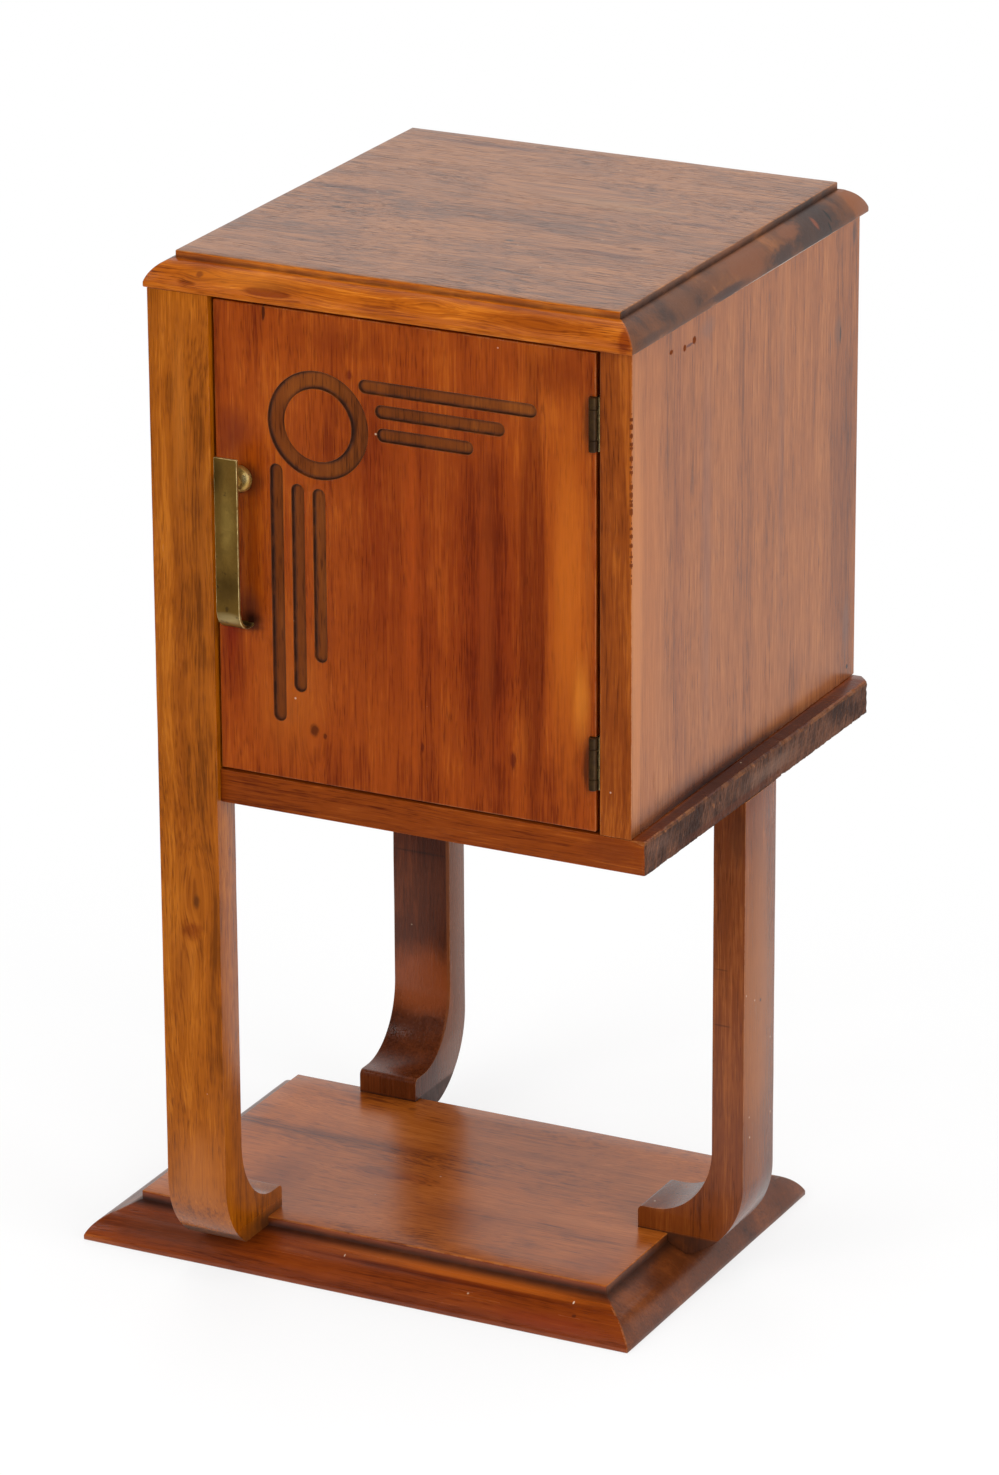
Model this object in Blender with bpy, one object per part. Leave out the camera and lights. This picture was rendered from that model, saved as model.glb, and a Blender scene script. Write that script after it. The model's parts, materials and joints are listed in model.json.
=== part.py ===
"""Side cabinet on three scrolled legs, with one hinged door and a moulded base.

Metres, +Z up. The door faces -Y and hangs on its right edge. Design places count X from the
body's left face, Y from the face of the front left leg and Z from the floor; at() moves them
so that the origin lies on the floor under the middle of the whole cabinet.
"""
import math

import bmesh
import bpy
from mathutils import Matrix, Vector

MM = 0.001

# Working clearances
FIT = 0.3 * MM
OVERRUN = 2 * MM

# Body
OVERALL_HEIGHT = 750 * MM
BODY_WIDTH = 357 * MM
BODY_DEPTH = 368 * MM
FRONT_SETBACK = 4.5 * MM
SIDE_THICKNESS = 14 * MM
BACK_THICKNESS = 6 * MM

# Top board and its moulded edge
TOP_THICKNESS = 23.5 * MM
TOP_OVERHANG_LEFT = 3 * MM
TOP_OVERHANG_RIGHT = 3 * MM
TOP_OVERHANG_FRONT = 1 * MM
TOP_OVERHANG_BACK = 8 * MM
TOP_MOULDING_WIDTH = 16.5 * MM
TOP_RISER = 5 * MM
TOP_LIP = 3.5 * MM
TOP_BULGE = 3 * MM

# Bottom board, with its rough sawn right edge
BOARD_TOP_HEIGHT = 389 * MM
BOARD_THICKNESS = 23.5 * MM
BOARD_OUTSET_FRONT = 10.5 * MM
BOARD_OUTSET_BACK = 14.5 * MM
BOARD_BACK_SETBACK = 1.5 * MM
BOARD_CORNER_CUT = 8 * MM
BOARD_EDGE_CHAMFER = 2.5 * MM

# Base board and its moulded edge
BASE_HEIGHT = 32 * MM
BASE_LEFT_OUTSET = 88 * MM
BASE_RIGHT_SETBACK = 14.5 * MM
BASE_FRONT_SETBACK = 30 * MM
BASE_BACK_SETBACK = 41 * MM
BASE_MOULDING_WIDTH = 31 * MM
BASE_RISER = 6.5 * MM
BASE_BAND_WIDTH = 14.5 * MM
BASE_BAND_DROP = 7 * MM
BASE_LIP = 3.5 * MM
BASE_BULGE = 2.2 * MM
BASE_COUNTERBORE = 5 * MM

# Legs and their scrolled feet
LEG_THICKNESS = 24 * MM
LEG_WIDTH = 46 * MM
RIGHT_LEG_WIDTH = 50 * MM
RIGHT_LEG_OUTSET = 12.5 * MM
FOOT_LENGTH = 81 * MM
TOE_HEIGHT = 17.3 * MM
TOE_ROUND = 4 * MM
HEEL_RADIUS = 62 * MM
HEEL_START_HEIGHT = 78 * MM
INSTEP_START_HEIGHT = 102 * MM
INSTEP_END_DEPTH = 69 * MM
FOOT_SCREW_DEPTH = 68 * MM

# Post that carries the hinges
POST_WIDTH = 23.2 * MM
POST_DEPTH = 22.5 * MM

# Door
DOOR_THICKNESS = 22 * MM
DOOR_GAP_LEFT = 1.5 * MM
DOOR_GAP_RIGHT = 2.8 * MM
DOOR_GAP_TOP = 3 * MM
DOOR_GAP_BOTTOM = 2 * MM

# Carved ring, measured from the door's top left corner, and its flutes, whose far ends are
# shares of the way from the ring's centre to the door's right edge and bottom edge
CARVING_DEPTH = 2.4 * MM
RING_FROM_LEFT = 78 * MM
RING_FROM_TOP = 78 * MM
RING_OUTER_RADIUS = 37.5 * MM
RING_INNER_RADIUS = 25.6 * MM
FLUTE_WIDTH = 9 * MM
FLUTE_PITCH = 16 * MM
FLUTE_GAP = 7 * MM
FLUTE_ACROSS_REACH_SHARES = (0.562, 0.675, 0.789)
FLUTE_DOWN_REACH_SHARES = (0.656, 0.748, 0.839)

# Butt hinges
HINGE_LENGTH = 37 * MM
HINGE_FROM_END = 30 * MM
HINGE_LEAF_THICKNESS = 1.2 * MM
HINGE_LEAF_DEPTH = 18 * MM
HINGE_BARREL_RADIUS = 2.75 * MM
HINGE_PIN_RADIUS = 1 * MM
HINGE_PROUD = 1.5 * MM
HINGE_LEAF_INSET = 0.3 * MM
HINGE_END_KNUCKLE_SHARE = 0.21
HINGE_SCREW_SHARES = (0.22, 0.78)

# Strap handle on its post
STRAP_WIDTH = 17.5 * MM
STRAP_THICKNESS = 2.2 * MM
STRAP_STANDOFF = 20.5 * MM
STRAP_HEIGHT = 123 * MM
STRAP_BEND_RADIUS = 15 * MM
STRAP_FROM_LEFT = 9.6 * MM
STRAP_ABOVE_MIDDLE = 1.25 * MM
STRAP_TANG_WIDTH = 8 * MM
STRAP_TANG_LENGTH = 9 * MM
POST_FROM_STRAP_TOP = 19.5 * MM
POST_NECK_RADIUS = 4 * MM
POST_DOME_RADIUS = 9.5 * MM
POST_DOME_HEIGHT = 7.5 * MM
POST_DOME_SWEEP = 65

# Shelf, cleats and rails inside
SHELF_THICKNESS = 12 * MM
SHELF_HEIGHT_SHARE = 0.48
SHELF_FRONT_SETBACK = 30 * MM
CLEAT_SIZE = 15 * MM
CLEAT_END_GAP = 20 * MM
RAIL_HEIGHT = 20 * MM
RAIL_DEPTH = 22 * MM

# Magnetic catch under the front rail
CATCH_LENGTH = 36 * MM
CATCH_DEPTH = 14 * MM
CATCH_HEIGHT = 12 * MM
CATCH_EAR_LENGTH = 9 * MM
CATCH_EAR_THICKNESS = 3 * MM
CATCH_FROM_LEFT = 62 * MM
CATCH_PLATE_LENGTH = 28 * MM
CATCH_PLATE_HEIGHT = 11 * MM
CATCH_PLATE_THICKNESS = 1.2 * MM

# Screws, pins and dowels
SMALL_SCREW_LENGTH = 12 * MM
SMALL_SCREW_SHANK = 1.2 * MM
SMALL_SCREW_HEAD = 2.4 * MM
SMALL_SCREW_HEAD_HEIGHT = 1.1 * MM
WOOD_SCREW_SHANK = 2 * MM
WOOD_SCREW_HEAD = 4 * MM
WOOD_SCREW_HEAD_HEIGHT = 2.4 * MM
FOOT_SCREW_LENGTH = 36 * MM
TOP_SCREW_LENGTH = 32 * MM
CLEAT_SCREW_LENGTH = 24 * MM
HANDLE_SCREW_LENGTH = 30 * MM
PANEL_PIN_LENGTH = 20 * MM
PANEL_PIN_SHANK = 0.8 * MM
PANEL_PIN_HEAD = 1.8 * MM
PANEL_PIN_HEAD_HEIGHT = 0.8 * MM
SCREW_POINT_SHARE = 0.2
DOWEL_RADIUS = 4 * MM
DOWEL_LENGTH = 26 * MM
DOWEL_SPREAD = 22 * MM

# Smoothness of the round shapes, in straight pieces
ARC_STEPS = 12
RING_STEPS = 48
ROUND_STEPS = 12
BARREL_STEPS = 16
SMALL_ARC_STEPS = 6
SMOOTH_ANGLE = math.radians(35)
SOLVING_ROUNDS = 40

# Places that follow from the sizes above
BODY_TOP = OVERALL_HEIGHT - TOP_THICKNESS
BOARD_UNDERSIDE = BOARD_TOP_HEIGHT - BOARD_THICKNESS
BOARD_RIGHT_FRONT = BODY_WIDTH + BOARD_OUTSET_FRONT
BOARD_BACK = BODY_DEPTH - BOARD_BACK_SETBACK
BOARD_EDGE_LEAN = (BOARD_OUTSET_BACK - BOARD_OUTSET_FRONT) / (BOARD_BACK - FRONT_SETBACK)
BOARD_RIGHT_BACK = BOARD_RIGHT_FRONT + BOARD_EDGE_LEAN * (BOARD_BACK - BOARD_CORNER_CUT - FRONT_SETBACK)
BASE_LEFT = -BASE_LEFT_OUTSET
BASE_RIGHT = BODY_WIDTH - BASE_RIGHT_SETBACK
BASE_BACK = BODY_DEPTH - BASE_BACK_SETBACK
FIELD_FRONT = BASE_FRONT_SETBACK + BASE_MOULDING_WIDTH
FIELD_BACK = BASE_BACK - BASE_MOULDING_WIDTH
FIELD_RIGHT = BASE_RIGHT - BASE_MOULDING_WIDTH
RISER_FOOT = BASE_HEIGHT - BASE_RISER
BAND_FOOT = RISER_FOOT - BASE_BAND_DROP
TOE_TOP = BASE_HEIGHT + TOE_HEIGHT
RIGHT_LEG_FACE = BODY_WIDTH + RIGHT_LEG_OUTSET
RIGHT_LEG_FRONT = (BODY_DEPTH - RIGHT_LEG_WIDTH) / 2
POST_LEFT = BODY_WIDTH - POST_WIDTH
POST_BACK = FRONT_SETBACK + POST_DEPTH
DOOR_LEFT = LEG_WIDTH + DOOR_GAP_LEFT
DOOR_RIGHT = POST_LEFT - DOOR_GAP_RIGHT
DOOR_BOTTOM = BOARD_TOP_HEIGHT + DOOR_GAP_BOTTOM
DOOR_TOP = BODY_TOP - DOOR_GAP_TOP
DOOR_FACE = FRONT_SETBACK
DOOR_BACK = DOOR_FACE + DOOR_THICKNESS
AXIS_X = DOOR_RIGHT - HINGE_LEAF_THICKNESS - HINGE_LEAF_INSET
AXIS_Y = DOOR_FACE - HINGE_PROUD
STRAP_LEFT = DOOR_LEFT + STRAP_FROM_LEFT
STRAP_TOP = (DOOR_BOTTOM + DOOR_TOP + STRAP_HEIGHT) / 2 + STRAP_ABOVE_MIDDLE
STRAP_MIDDLE = STRAP_LEFT + STRAP_WIDTH / 2
STRAP_FRONT = DOOR_FACE - STRAP_STANDOFF
INNER_LEFT = SIDE_THICKNESS
INNER_RIGHT = BODY_WIDTH - SIDE_THICKNESS
BACK_PANEL_FRONT = BODY_DEPTH - BACK_THICKNESS
RAIL_BOTTOM = BODY_TOP - RAIL_HEIGHT
RAIL_FRONT = DOOR_BACK + 2 * FIT
BACK_RAIL_FRONT = BACK_PANEL_FRONT - RAIL_DEPTH
SHELF_TOP = BOARD_TOP_HEIGHT + SHELF_HEIGHT_SHARE * (BODY_TOP - BOARD_TOP_HEIGHT)
SHELF_UNDERSIDE = SHELF_TOP - SHELF_THICKNESS
SHELF_FRONT = DOOR_BACK + SHELF_FRONT_SETBACK
SHELF_BACK = BACK_PANEL_FRONT - FIT
CLEAT_FRONT = SHELF_FRONT + CLEAT_END_GAP
CLEAT_BACK = BODY_DEPTH - LEG_THICKNESS - CLEAT_END_GAP

ORIGIN_X = (BASE_LEFT + max(BOARD_RIGHT_BACK, RIGHT_LEG_FACE)) / 2
ORIGIN_Y = (STRAP_FRONT + BODY_DEPTH + TOP_OVERHANG_BACK) / 2

FINISHES = {
    "orange_timber": ((0.33, 0.10, 0.022), 0.38, 0.0),
    "yellow_timber": ((0.36, 0.14, 0.035), 0.40, 0.0),
    "door_timber": ((0.30, 0.075, 0.018), 0.36, 0.0),
    "faded_timber": ((0.38, 0.17, 0.10), 0.50, 0.0),
    "dark_timber": ((0.16, 0.055, 0.022), 0.40, 0.0),
    "plain_timber": ((0.42, 0.26, 0.13), 0.65, 0.0),
    "aged_brass": ((0.30, 0.22, 0.09), 0.35, 1.0),
    "steel": ((0.45, 0.44, 0.42), 0.40, 1.0),
    "catch_plastic": ((0.20, 0.12, 0.07), 0.50, 0.0),
}


def at(x, y, z):
    """A design place as a vector from the cabinet's own origin."""
    return Vector((x - ORIGIN_X, y - ORIGIN_Y, z))


def clear_scene():
    """Take away whatever the scene held before."""
    for old in list(bpy.data.objects):
        bpy.data.objects.remove(old, do_unlink=True)


def finish_material(name, finish):
    """A plain material of its own for one piece."""
    colour, roughness, metallic = FINISHES[finish]
    material = bpy.data.materials.new(name + "_finish")
    material.use_nodes = True
    shader = material.node_tree.nodes["Principled BSDF"]
    shader.inputs["Base Color"].default_value = (*colour, 1.0)
    shader.inputs["Roughness"].default_value = roughness
    shader.inputs["Metallic"].default_value = metallic
    material.diffuse_color = (*colour, 1.0)
    return material


def add_object(name, bm, origin, parent=None):
    """Put a mesh in the scene with its object's origin at the given place."""
    bmesh.ops.recalc_face_normals(bm, faces=bm.faces)
    bmesh.ops.translate(bm, verts=bm.verts, vec=-origin)
    mesh = bpy.data.meshes.new(name)
    bm.to_mesh(mesh)
    bm.free()
    mesh.shade_smooth()
    mesh.set_sharp_from_angle(angle=SMOOTH_ANGLE)
    piece = bpy.data.objects.new(name, mesh)
    bpy.context.collection.objects.link(piece)
    piece.location = origin
    if parent is not None:
        piece.parent = parent
        piece.location = origin - parent.location
    return piece


def add_piece(name, bm, finish, origin, parent=None):
    """One real piece of the cabinet."""
    piece = add_object(name, bm, origin, parent)
    piece.data.materials.append(finish_material(name, finish))
    return piece


def change(piece, tool_name, bm, operation="DIFFERENCE"):
    """Cut a shape out of a piece, or join it on."""
    tool = add_object(tool_name, bm, Vector())
    tool.hide_render = True
    tool.display_type = "WIRE"
    modifier = piece.modifiers.new(tool_name, "BOOLEAN")
    modifier.operation = operation
    modifier.solver = "EXACT"
    modifier.object = tool


def box(low, high):
    """A box between two design corners."""
    bm = bmesh.new()
    add_box(bm, low, high)
    return bm


def add_box(bm, low, high):
    """Add a box between two design corners to a mesh."""
    start, end = at(*low), at(*high)
    verts = bmesh.ops.create_cube(bm, size=1)["verts"]
    bmesh.ops.scale(bm, verts=verts, vec=end - start)
    bmesh.ops.translate(bm, verts=verts, vec=(start + end) / 2)


def prism(outline, sweep):
    """Extrude a flat outline of design places along a vector."""
    bm = bmesh.new()
    face = bm.faces.new([bm.verts.new(at(*point)) for point in outline])
    moved = bmesh.ops.extrude_face_region(bm, geom=[face])["geom"]
    verts = [item for item in moved if isinstance(item, bmesh.types.BMVert)]
    bmesh.ops.translate(bm, verts=verts, vec=Vector(sweep))
    bmesh.ops.recalc_face_normals(bm, faces=bm.faces)
    return bm


def turned(profile, place, direction, steps):
    """Turn a profile of (radius, distance) about a line from a design place."""
    bm = bmesh.new()
    verts = [bm.verts.new((radius, 0, distance)) for radius, distance in profile]
    edges = [bm.edges.new(pair) for pair in zip(verts, verts[1:])]
    bmesh.ops.spin(bm, geom=verts + edges, axis=(0, 0, 1), cent=(0, 0, 0),
                   angle=math.tau, steps=steps, use_merge=True)
    bmesh.ops.remove_doubles(bm, verts=bm.verts, dist=FIT / 100)
    turn = Vector(direction).to_track_quat("Z", "Y").to_matrix().to_4x4()
    bmesh.ops.transform(bm, matrix=Matrix.Translation(at(*place)) @ turn, verts=bm.verts)
    bmesh.ops.recalc_face_normals(bm, faces=bm.faces)
    return bm


def rod(radius, length, place, direction, steps=ROUND_STEPS):
    """A plain round bar from a design place."""
    return turned([(0, 0), (radius, 0), (radius, length), (0, length)], place, direction, steps)


def bulged_arc(start, end, bulge, steps=ARC_STEPS):
    """Points on the round arc between two places, bulging to the left of their line."""
    start, end = Vector(start), Vector(end)
    chord = end - start
    radius = (chord.length_squared / 4 + bulge * bulge) / (2 * bulge)
    left = Vector((-chord.y, chord.x)).normalized()
    centre = (start + end) / 2 + left * (bulge - radius)
    first = math.atan2(start.y - centre.y, start.x - centre.x)
    last = math.atan2(end.y - centre.y, end.x - centre.x)
    turn = (last - first + math.pi) % math.tau - math.pi
    angles = [first + turn * step / steps for step in range(steps + 1)]
    return [(centre.x + radius * math.cos(a), centre.y + radius * math.sin(a)) for a in angles]


def ellipse_arc(centre, half_width, half_height, first, last, steps=ARC_STEPS):
    """Points on part of an ellipse, between two angles in degrees."""
    angles = [math.radians(first + (last - first) * step / steps) for step in range(steps + 1)]
    return [(centre[0] + half_width * math.cos(a), centre[1] + half_height * math.sin(a))
            for a in angles]


def moulded_board(left, right, front, back, profile):
    """A board whose four edges share one moulding, as a profile of (inset, height)."""
    bm = bmesh.new()
    rings = []
    for inset, height in profile:
        corners = [(left + inset, front + inset), (right - inset, front + inset),
                   (right - inset, back - inset), (left + inset, back - inset)]
        rings.append([bm.verts.new(at(x, y, height)) for x, y in corners])
    for lower, upper in zip(rings, rings[1:]):
        for side in range(len(lower)):
            after = (side + 1) % len(lower)
            bm.faces.new((lower[side], lower[after], upper[after], upper[side]))
    bm.faces.new(reversed(rings[0]))
    bm.faces.new(rings[-1])
    return bm


def screw_profile(shank, head, head_height, length, play=0.0, reach=0.0):
    """A countersunk screw's profile from its head down, or with play and reach its hole's."""
    if play:
        return [(0, -reach), (head + play, -reach), (head + play, 0), (shank + play, head_height + play),
                (shank + play, length + play), (0, length + play)]
    point_start = length * (1 - SCREW_POINT_SHARE)
    return [(0, 0), (head, 0), (shank, head_height), (shank, point_start), (0, length)]


def drive(name, kind, place, direction, pieces, finish="steel", parent=None):
    """Set a screw or pin, and cut its hole in every piece that it passes through."""
    bm = turned(screw_profile(*kind), place, direction, ROUND_STEPS)
    add_piece(name, bm, finish, at(*place), parent)
    for piece in pieces:
        hole = turned(screw_profile(*kind, play=FIT, reach=OVERRUN), place, direction, ROUND_STEPS)
        change(piece, name + "_hole_in_" + piece.name, hole)


SMALL_SCREW = (SMALL_SCREW_SHANK, SMALL_SCREW_HEAD, SMALL_SCREW_HEAD_HEIGHT, SMALL_SCREW_LENGTH)
FOOT_SCREW = (WOOD_SCREW_SHANK, WOOD_SCREW_HEAD, WOOD_SCREW_HEAD_HEIGHT, FOOT_SCREW_LENGTH)
TOP_SCREW = (WOOD_SCREW_SHANK, WOOD_SCREW_HEAD, WOOD_SCREW_HEAD_HEIGHT, TOP_SCREW_LENGTH)
CLEAT_SCREW = (SMALL_SCREW_SHANK, SMALL_SCREW_HEAD, SMALL_SCREW_HEAD_HEIGHT, CLEAT_SCREW_LENGTH)
HANDLE_SCREW = (WOOD_SCREW_SHANK, WOOD_SCREW_HEAD, WOOD_SCREW_HEAD_HEIGHT, HANDLE_SCREW_LENGTH)
PANEL_PIN = (PANEL_PIN_SHANK, PANEL_PIN_HEAD, PANEL_PIN_HEAD_HEIGHT, PANEL_PIN_LENGTH)


def build_top_board():
    """The top, whose flat field stands a step above its rounded edge."""
    riser_foot = OVERALL_HEIGHT - TOP_RISER
    curve = bulged_arc((0, BODY_TOP + TOP_LIP), (TOP_MOULDING_WIDTH, riser_foot), TOP_BULGE)
    profile = [(0, BODY_TOP)] + curve + [(TOP_MOULDING_WIDTH, OVERALL_HEIGHT)]
    bm = moulded_board(-TOP_OVERHANG_LEFT, BODY_WIDTH + TOP_OVERHANG_RIGHT, -TOP_OVERHANG_FRONT,
                       BODY_DEPTH + TOP_OVERHANG_BACK, profile)
    return add_piece("top_board", bm, "orange_timber", at(BODY_WIDTH / 2, BODY_DEPTH / 2, BODY_TOP))


def build_base_board():
    """The base, with a step, a sloping band and a rounded edge on all four sides."""
    band_inset = BASE_MOULDING_WIDTH - BASE_BAND_WIDTH
    curve = bulged_arc((0, BASE_LIP), (band_inset, BAND_FOOT), BASE_BULGE)
    profile = [(0, 0)] + curve + [(BASE_MOULDING_WIDTH, RISER_FOOT), (BASE_MOULDING_WIDTH, BASE_HEIGHT)]
    bm = moulded_board(BASE_LEFT, BASE_RIGHT, BASE_FRONT_SETBACK, BASE_BACK, profile)
    middle = at((BASE_LEFT + BASE_RIGHT) / 2, (BASE_FRONT_SETBACK + BASE_BACK) / 2, 0)
    return add_piece("base_board", bm, "orange_timber", middle)


def build_bottom_board():
    """The floor of the body, notched round the left legs, its right edge sawn a little askew."""
    inner = LEG_WIDTH + FIT
    front_notch = LEG_THICKNESS + FIT
    back_notch = BODY_DEPTH - LEG_THICKNESS - FIT
    low = BOARD_UNDERSIDE
    outline = [(0, front_notch, low), (inner, front_notch, low), (inner, FRONT_SETBACK, low),
               (BOARD_RIGHT_FRONT, FRONT_SETBACK, low),
               (BOARD_RIGHT_BACK, BOARD_BACK - BOARD_CORNER_CUT, low),
               (BOARD_RIGHT_BACK - BOARD_CORNER_CUT, BOARD_BACK, low),
               (inner, BOARD_BACK, low), (inner, back_notch, low), (0, back_notch, low)]
    bm = prism(outline, (0, 0, BOARD_THICKNESS))
    right_edge = at(BODY_WIDTH, 0, BOARD_TOP_HEIGHT)
    rough = [edge for edge in bm.edges
             if all(vert.co.x > right_edge.x and vert.co.z > right_edge.z - FIT for vert in edge.verts)]
    bmesh.ops.bevel(bm, geom=rough, offset=BOARD_EDGE_CHAMFER, offset_type="OFFSET", segments=1,
                    profile=0.5, affect="EDGES", material=-1)
    return add_piece("bottom_board", bm, "dark_timber", at(0, BODY_DEPTH, BOARD_UNDERSIDE))


def heel_depth(height):
    """How far the heel's curve has drawn in from the leg's outer face at a height."""
    return HEEL_RADIUS - math.sqrt(HEEL_RADIUS ** 2 - (HEEL_START_HEIGHT - height) ** 2)


def sole_height(depth, field_depth, lowest):
    """The base's surface under the foot, at a depth from the leg's outer face."""
    slope = BASE_BAND_DROP / BASE_BAND_WIDTH
    return max(lowest, RISER_FOOT - slope * (field_depth - depth)) + FIT


def foot_outline(field_depth, lowest, top):
    """A leg's side view as (depth from its outer face, height), with the scrolled foot."""
    low, high = heel_depth(HEEL_START_HEIGHT), field_depth
    for _ in range(SOLVING_ROUNDS):
        middle = (low + high) / 2
        below = sole_height(middle, field_depth, lowest)
        if heel_depth(below) > middle:
            low = middle
        else:
            high = middle
    sole_start = (low, sole_height(low, field_depth, lowest))
    last = math.degrees(math.acos(1 - low / HEEL_RADIUS))
    heel = ellipse_arc((HEEL_RADIUS, HEEL_START_HEIGHT), HEEL_RADIUS, HEEL_RADIUS, 180, 180 + last)
    heel[-1] = sole_start
    sole = []
    band_end = field_depth - BASE_BAND_WIDTH * (RISER_FOOT - lowest) / BASE_BAND_DROP
    if low < band_end - FIT < field_depth - 2 * FIT:
        sole.append((band_end - FIT, lowest + FIT))
    step = field_depth - FIT
    sole += [(step, RISER_FOOT + FIT), (step, BASE_HEIGHT + FIT)]
    toe = [(FOOT_LENGTH, BASE_HEIGHT + FIT)]
    toe += ellipse_arc((FOOT_LENGTH - TOE_ROUND, TOE_TOP - TOE_ROUND), TOE_ROUND, TOE_ROUND,
                       0, 90, SMALL_ARC_STEPS)
    instep = ellipse_arc((INSTEP_END_DEPTH, INSTEP_START_HEIGHT), INSTEP_END_DEPTH - LEG_THICKNESS,
                         INSTEP_START_HEIGHT - TOE_TOP, 270, 180)
    return [(0, top)] + heel + sole + toe + instep + [(LEG_THICKNESS, top)]


def build_left_leg(name, face, inward, field_depth, lowest, finish):
    """A left leg, which is also a corner post of the body; its foot points inward."""
    outline = [(0, face + inward * depth, height)
               for depth, height in foot_outline(field_depth, lowest, BODY_TOP - FIT)]
    return add_piece(name, prism(outline, (LEG_WIDTH, 0, 0)), finish, at(0, face, BODY_TOP))


def build_right_leg():
    """The single right leg, under the overhang of the bottom board."""
    outline = [(RIGHT_LEG_FACE - depth, RIGHT_LEG_FRONT, height) for depth, height in
               foot_outline(RIGHT_LEG_FACE - FIELD_RIGHT, BAND_FOOT, BOARD_UNDERSIDE - FIT)]
    bm = prism(outline, (0, RIGHT_LEG_WIDTH, 0))
    top = at(RIGHT_LEG_FACE, BODY_DEPTH / 2, BOARD_UNDERSIDE)
    return add_piece("right_leg", bm, "orange_timber", top)


def build_post():
    """The slim front post at the right, which the hinges are screwed to."""
    low, high = BOARD_TOP_HEIGHT + FIT, BODY_TOP - FIT
    bm = box((POST_LEFT, FRONT_SETBACK, low), (BODY_WIDTH, POST_BACK, high))
    return add_piece("front_right_post", bm, "orange_timber", at(BODY_WIDTH, FRONT_SETBACK, low))


def build_panels():
    """The two sides and the thin back."""
    low, high = BOARD_TOP_HEIGHT + FIT, BODY_TOP - FIT
    left_front, left_back = LEG_THICKNESS + FIT, BODY_DEPTH - LEG_THICKNESS - FIT
    left = box((0, left_front, low), (SIDE_THICKNESS, left_back, high))
    right = box((INNER_RIGHT, POST_BACK + FIT, low), (BODY_WIDTH, BODY_DEPTH, high))
    back = box((LEG_WIDTH + FIT, BACK_PANEL_FRONT, low), (INNER_RIGHT - FIT, BODY_DEPTH, high))
    return (add_piece("left_side_panel", left, "faded_timber", at(0, BODY_DEPTH / 2, low)),
            add_piece("right_side_panel", right, "faded_timber", at(BODY_WIDTH, BODY_DEPTH / 2, low)),
            add_piece("back_panel", back, "plain_timber", at(BODY_WIDTH / 2, BODY_DEPTH, low)))


def build_rails():
    """The front rail, which also stops the door, and the back rail, both under the top."""
    low, high = RAIL_BOTTOM, BODY_TOP - FIT
    right = INNER_RIGHT - FIT
    front = box((INNER_LEFT + FIT, RAIL_FRONT, low), (right, RAIL_FRONT + RAIL_DEPTH, high))
    back = box((LEG_WIDTH + FIT, BACK_RAIL_FRONT, low), (right, BACK_PANEL_FRONT - FIT, high))
    return (add_piece("front_top_rail", front, "plain_timber", at(BODY_WIDTH / 2, RAIL_FRONT, low)),
            add_piece("back_top_rail", back, "plain_timber", at(BODY_WIDTH / 2, BACK_RAIL_FRONT, low)))


def build_shelf(left_panel, right_panel):
    """The loose shelf, notched round the back left leg, and the two cleats that it lies on."""
    left, right = INNER_LEFT + FIT, INNER_RIGHT - FIT
    leg_side, leg_front = LEG_WIDTH + FIT, BODY_DEPTH - LEG_THICKNESS - FIT
    outline = [(left, SHELF_FRONT), (right, SHELF_FRONT), (right, SHELF_BACK), (leg_side, SHELF_BACK),
               (leg_side, leg_front), (left, leg_front)]
    bm = prism([(x, y, SHELF_UNDERSIDE) for x, y in outline], (0, 0, SHELF_THICKNESS))
    add_piece("shelf", bm, "plain_timber", at(BODY_WIDTH / 2, SHELF_FRONT, SHELF_UNDERSIDE))
    high = SHELF_UNDERSIDE - FIT
    low = high - CLEAT_SIZE
    for side, wall, inward, panel in (("left", left, 1, left_panel), ("right", right, -1, right_panel)):
        inner = wall + inward * CLEAT_SIZE
        bm = box((min(wall, inner), CLEAT_FRONT, low), (max(wall, inner), CLEAT_BACK, high))
        middle = at(wall, (CLEAT_FRONT + CLEAT_BACK) / 2, low)
        cleat = add_piece(side + "_shelf_cleat", bm, "plain_timber", middle)
        for end, y in (("front", CLEAT_FRONT + CLEAT_END_GAP), ("back", CLEAT_BACK - CLEAT_END_GAP)):
            drive(f"{side}_cleat_{end}_screw", CLEAT_SCREW, (inner, y, (low + high) / 2),
                  (-inward, 0, 0), (cleat, panel))


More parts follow.
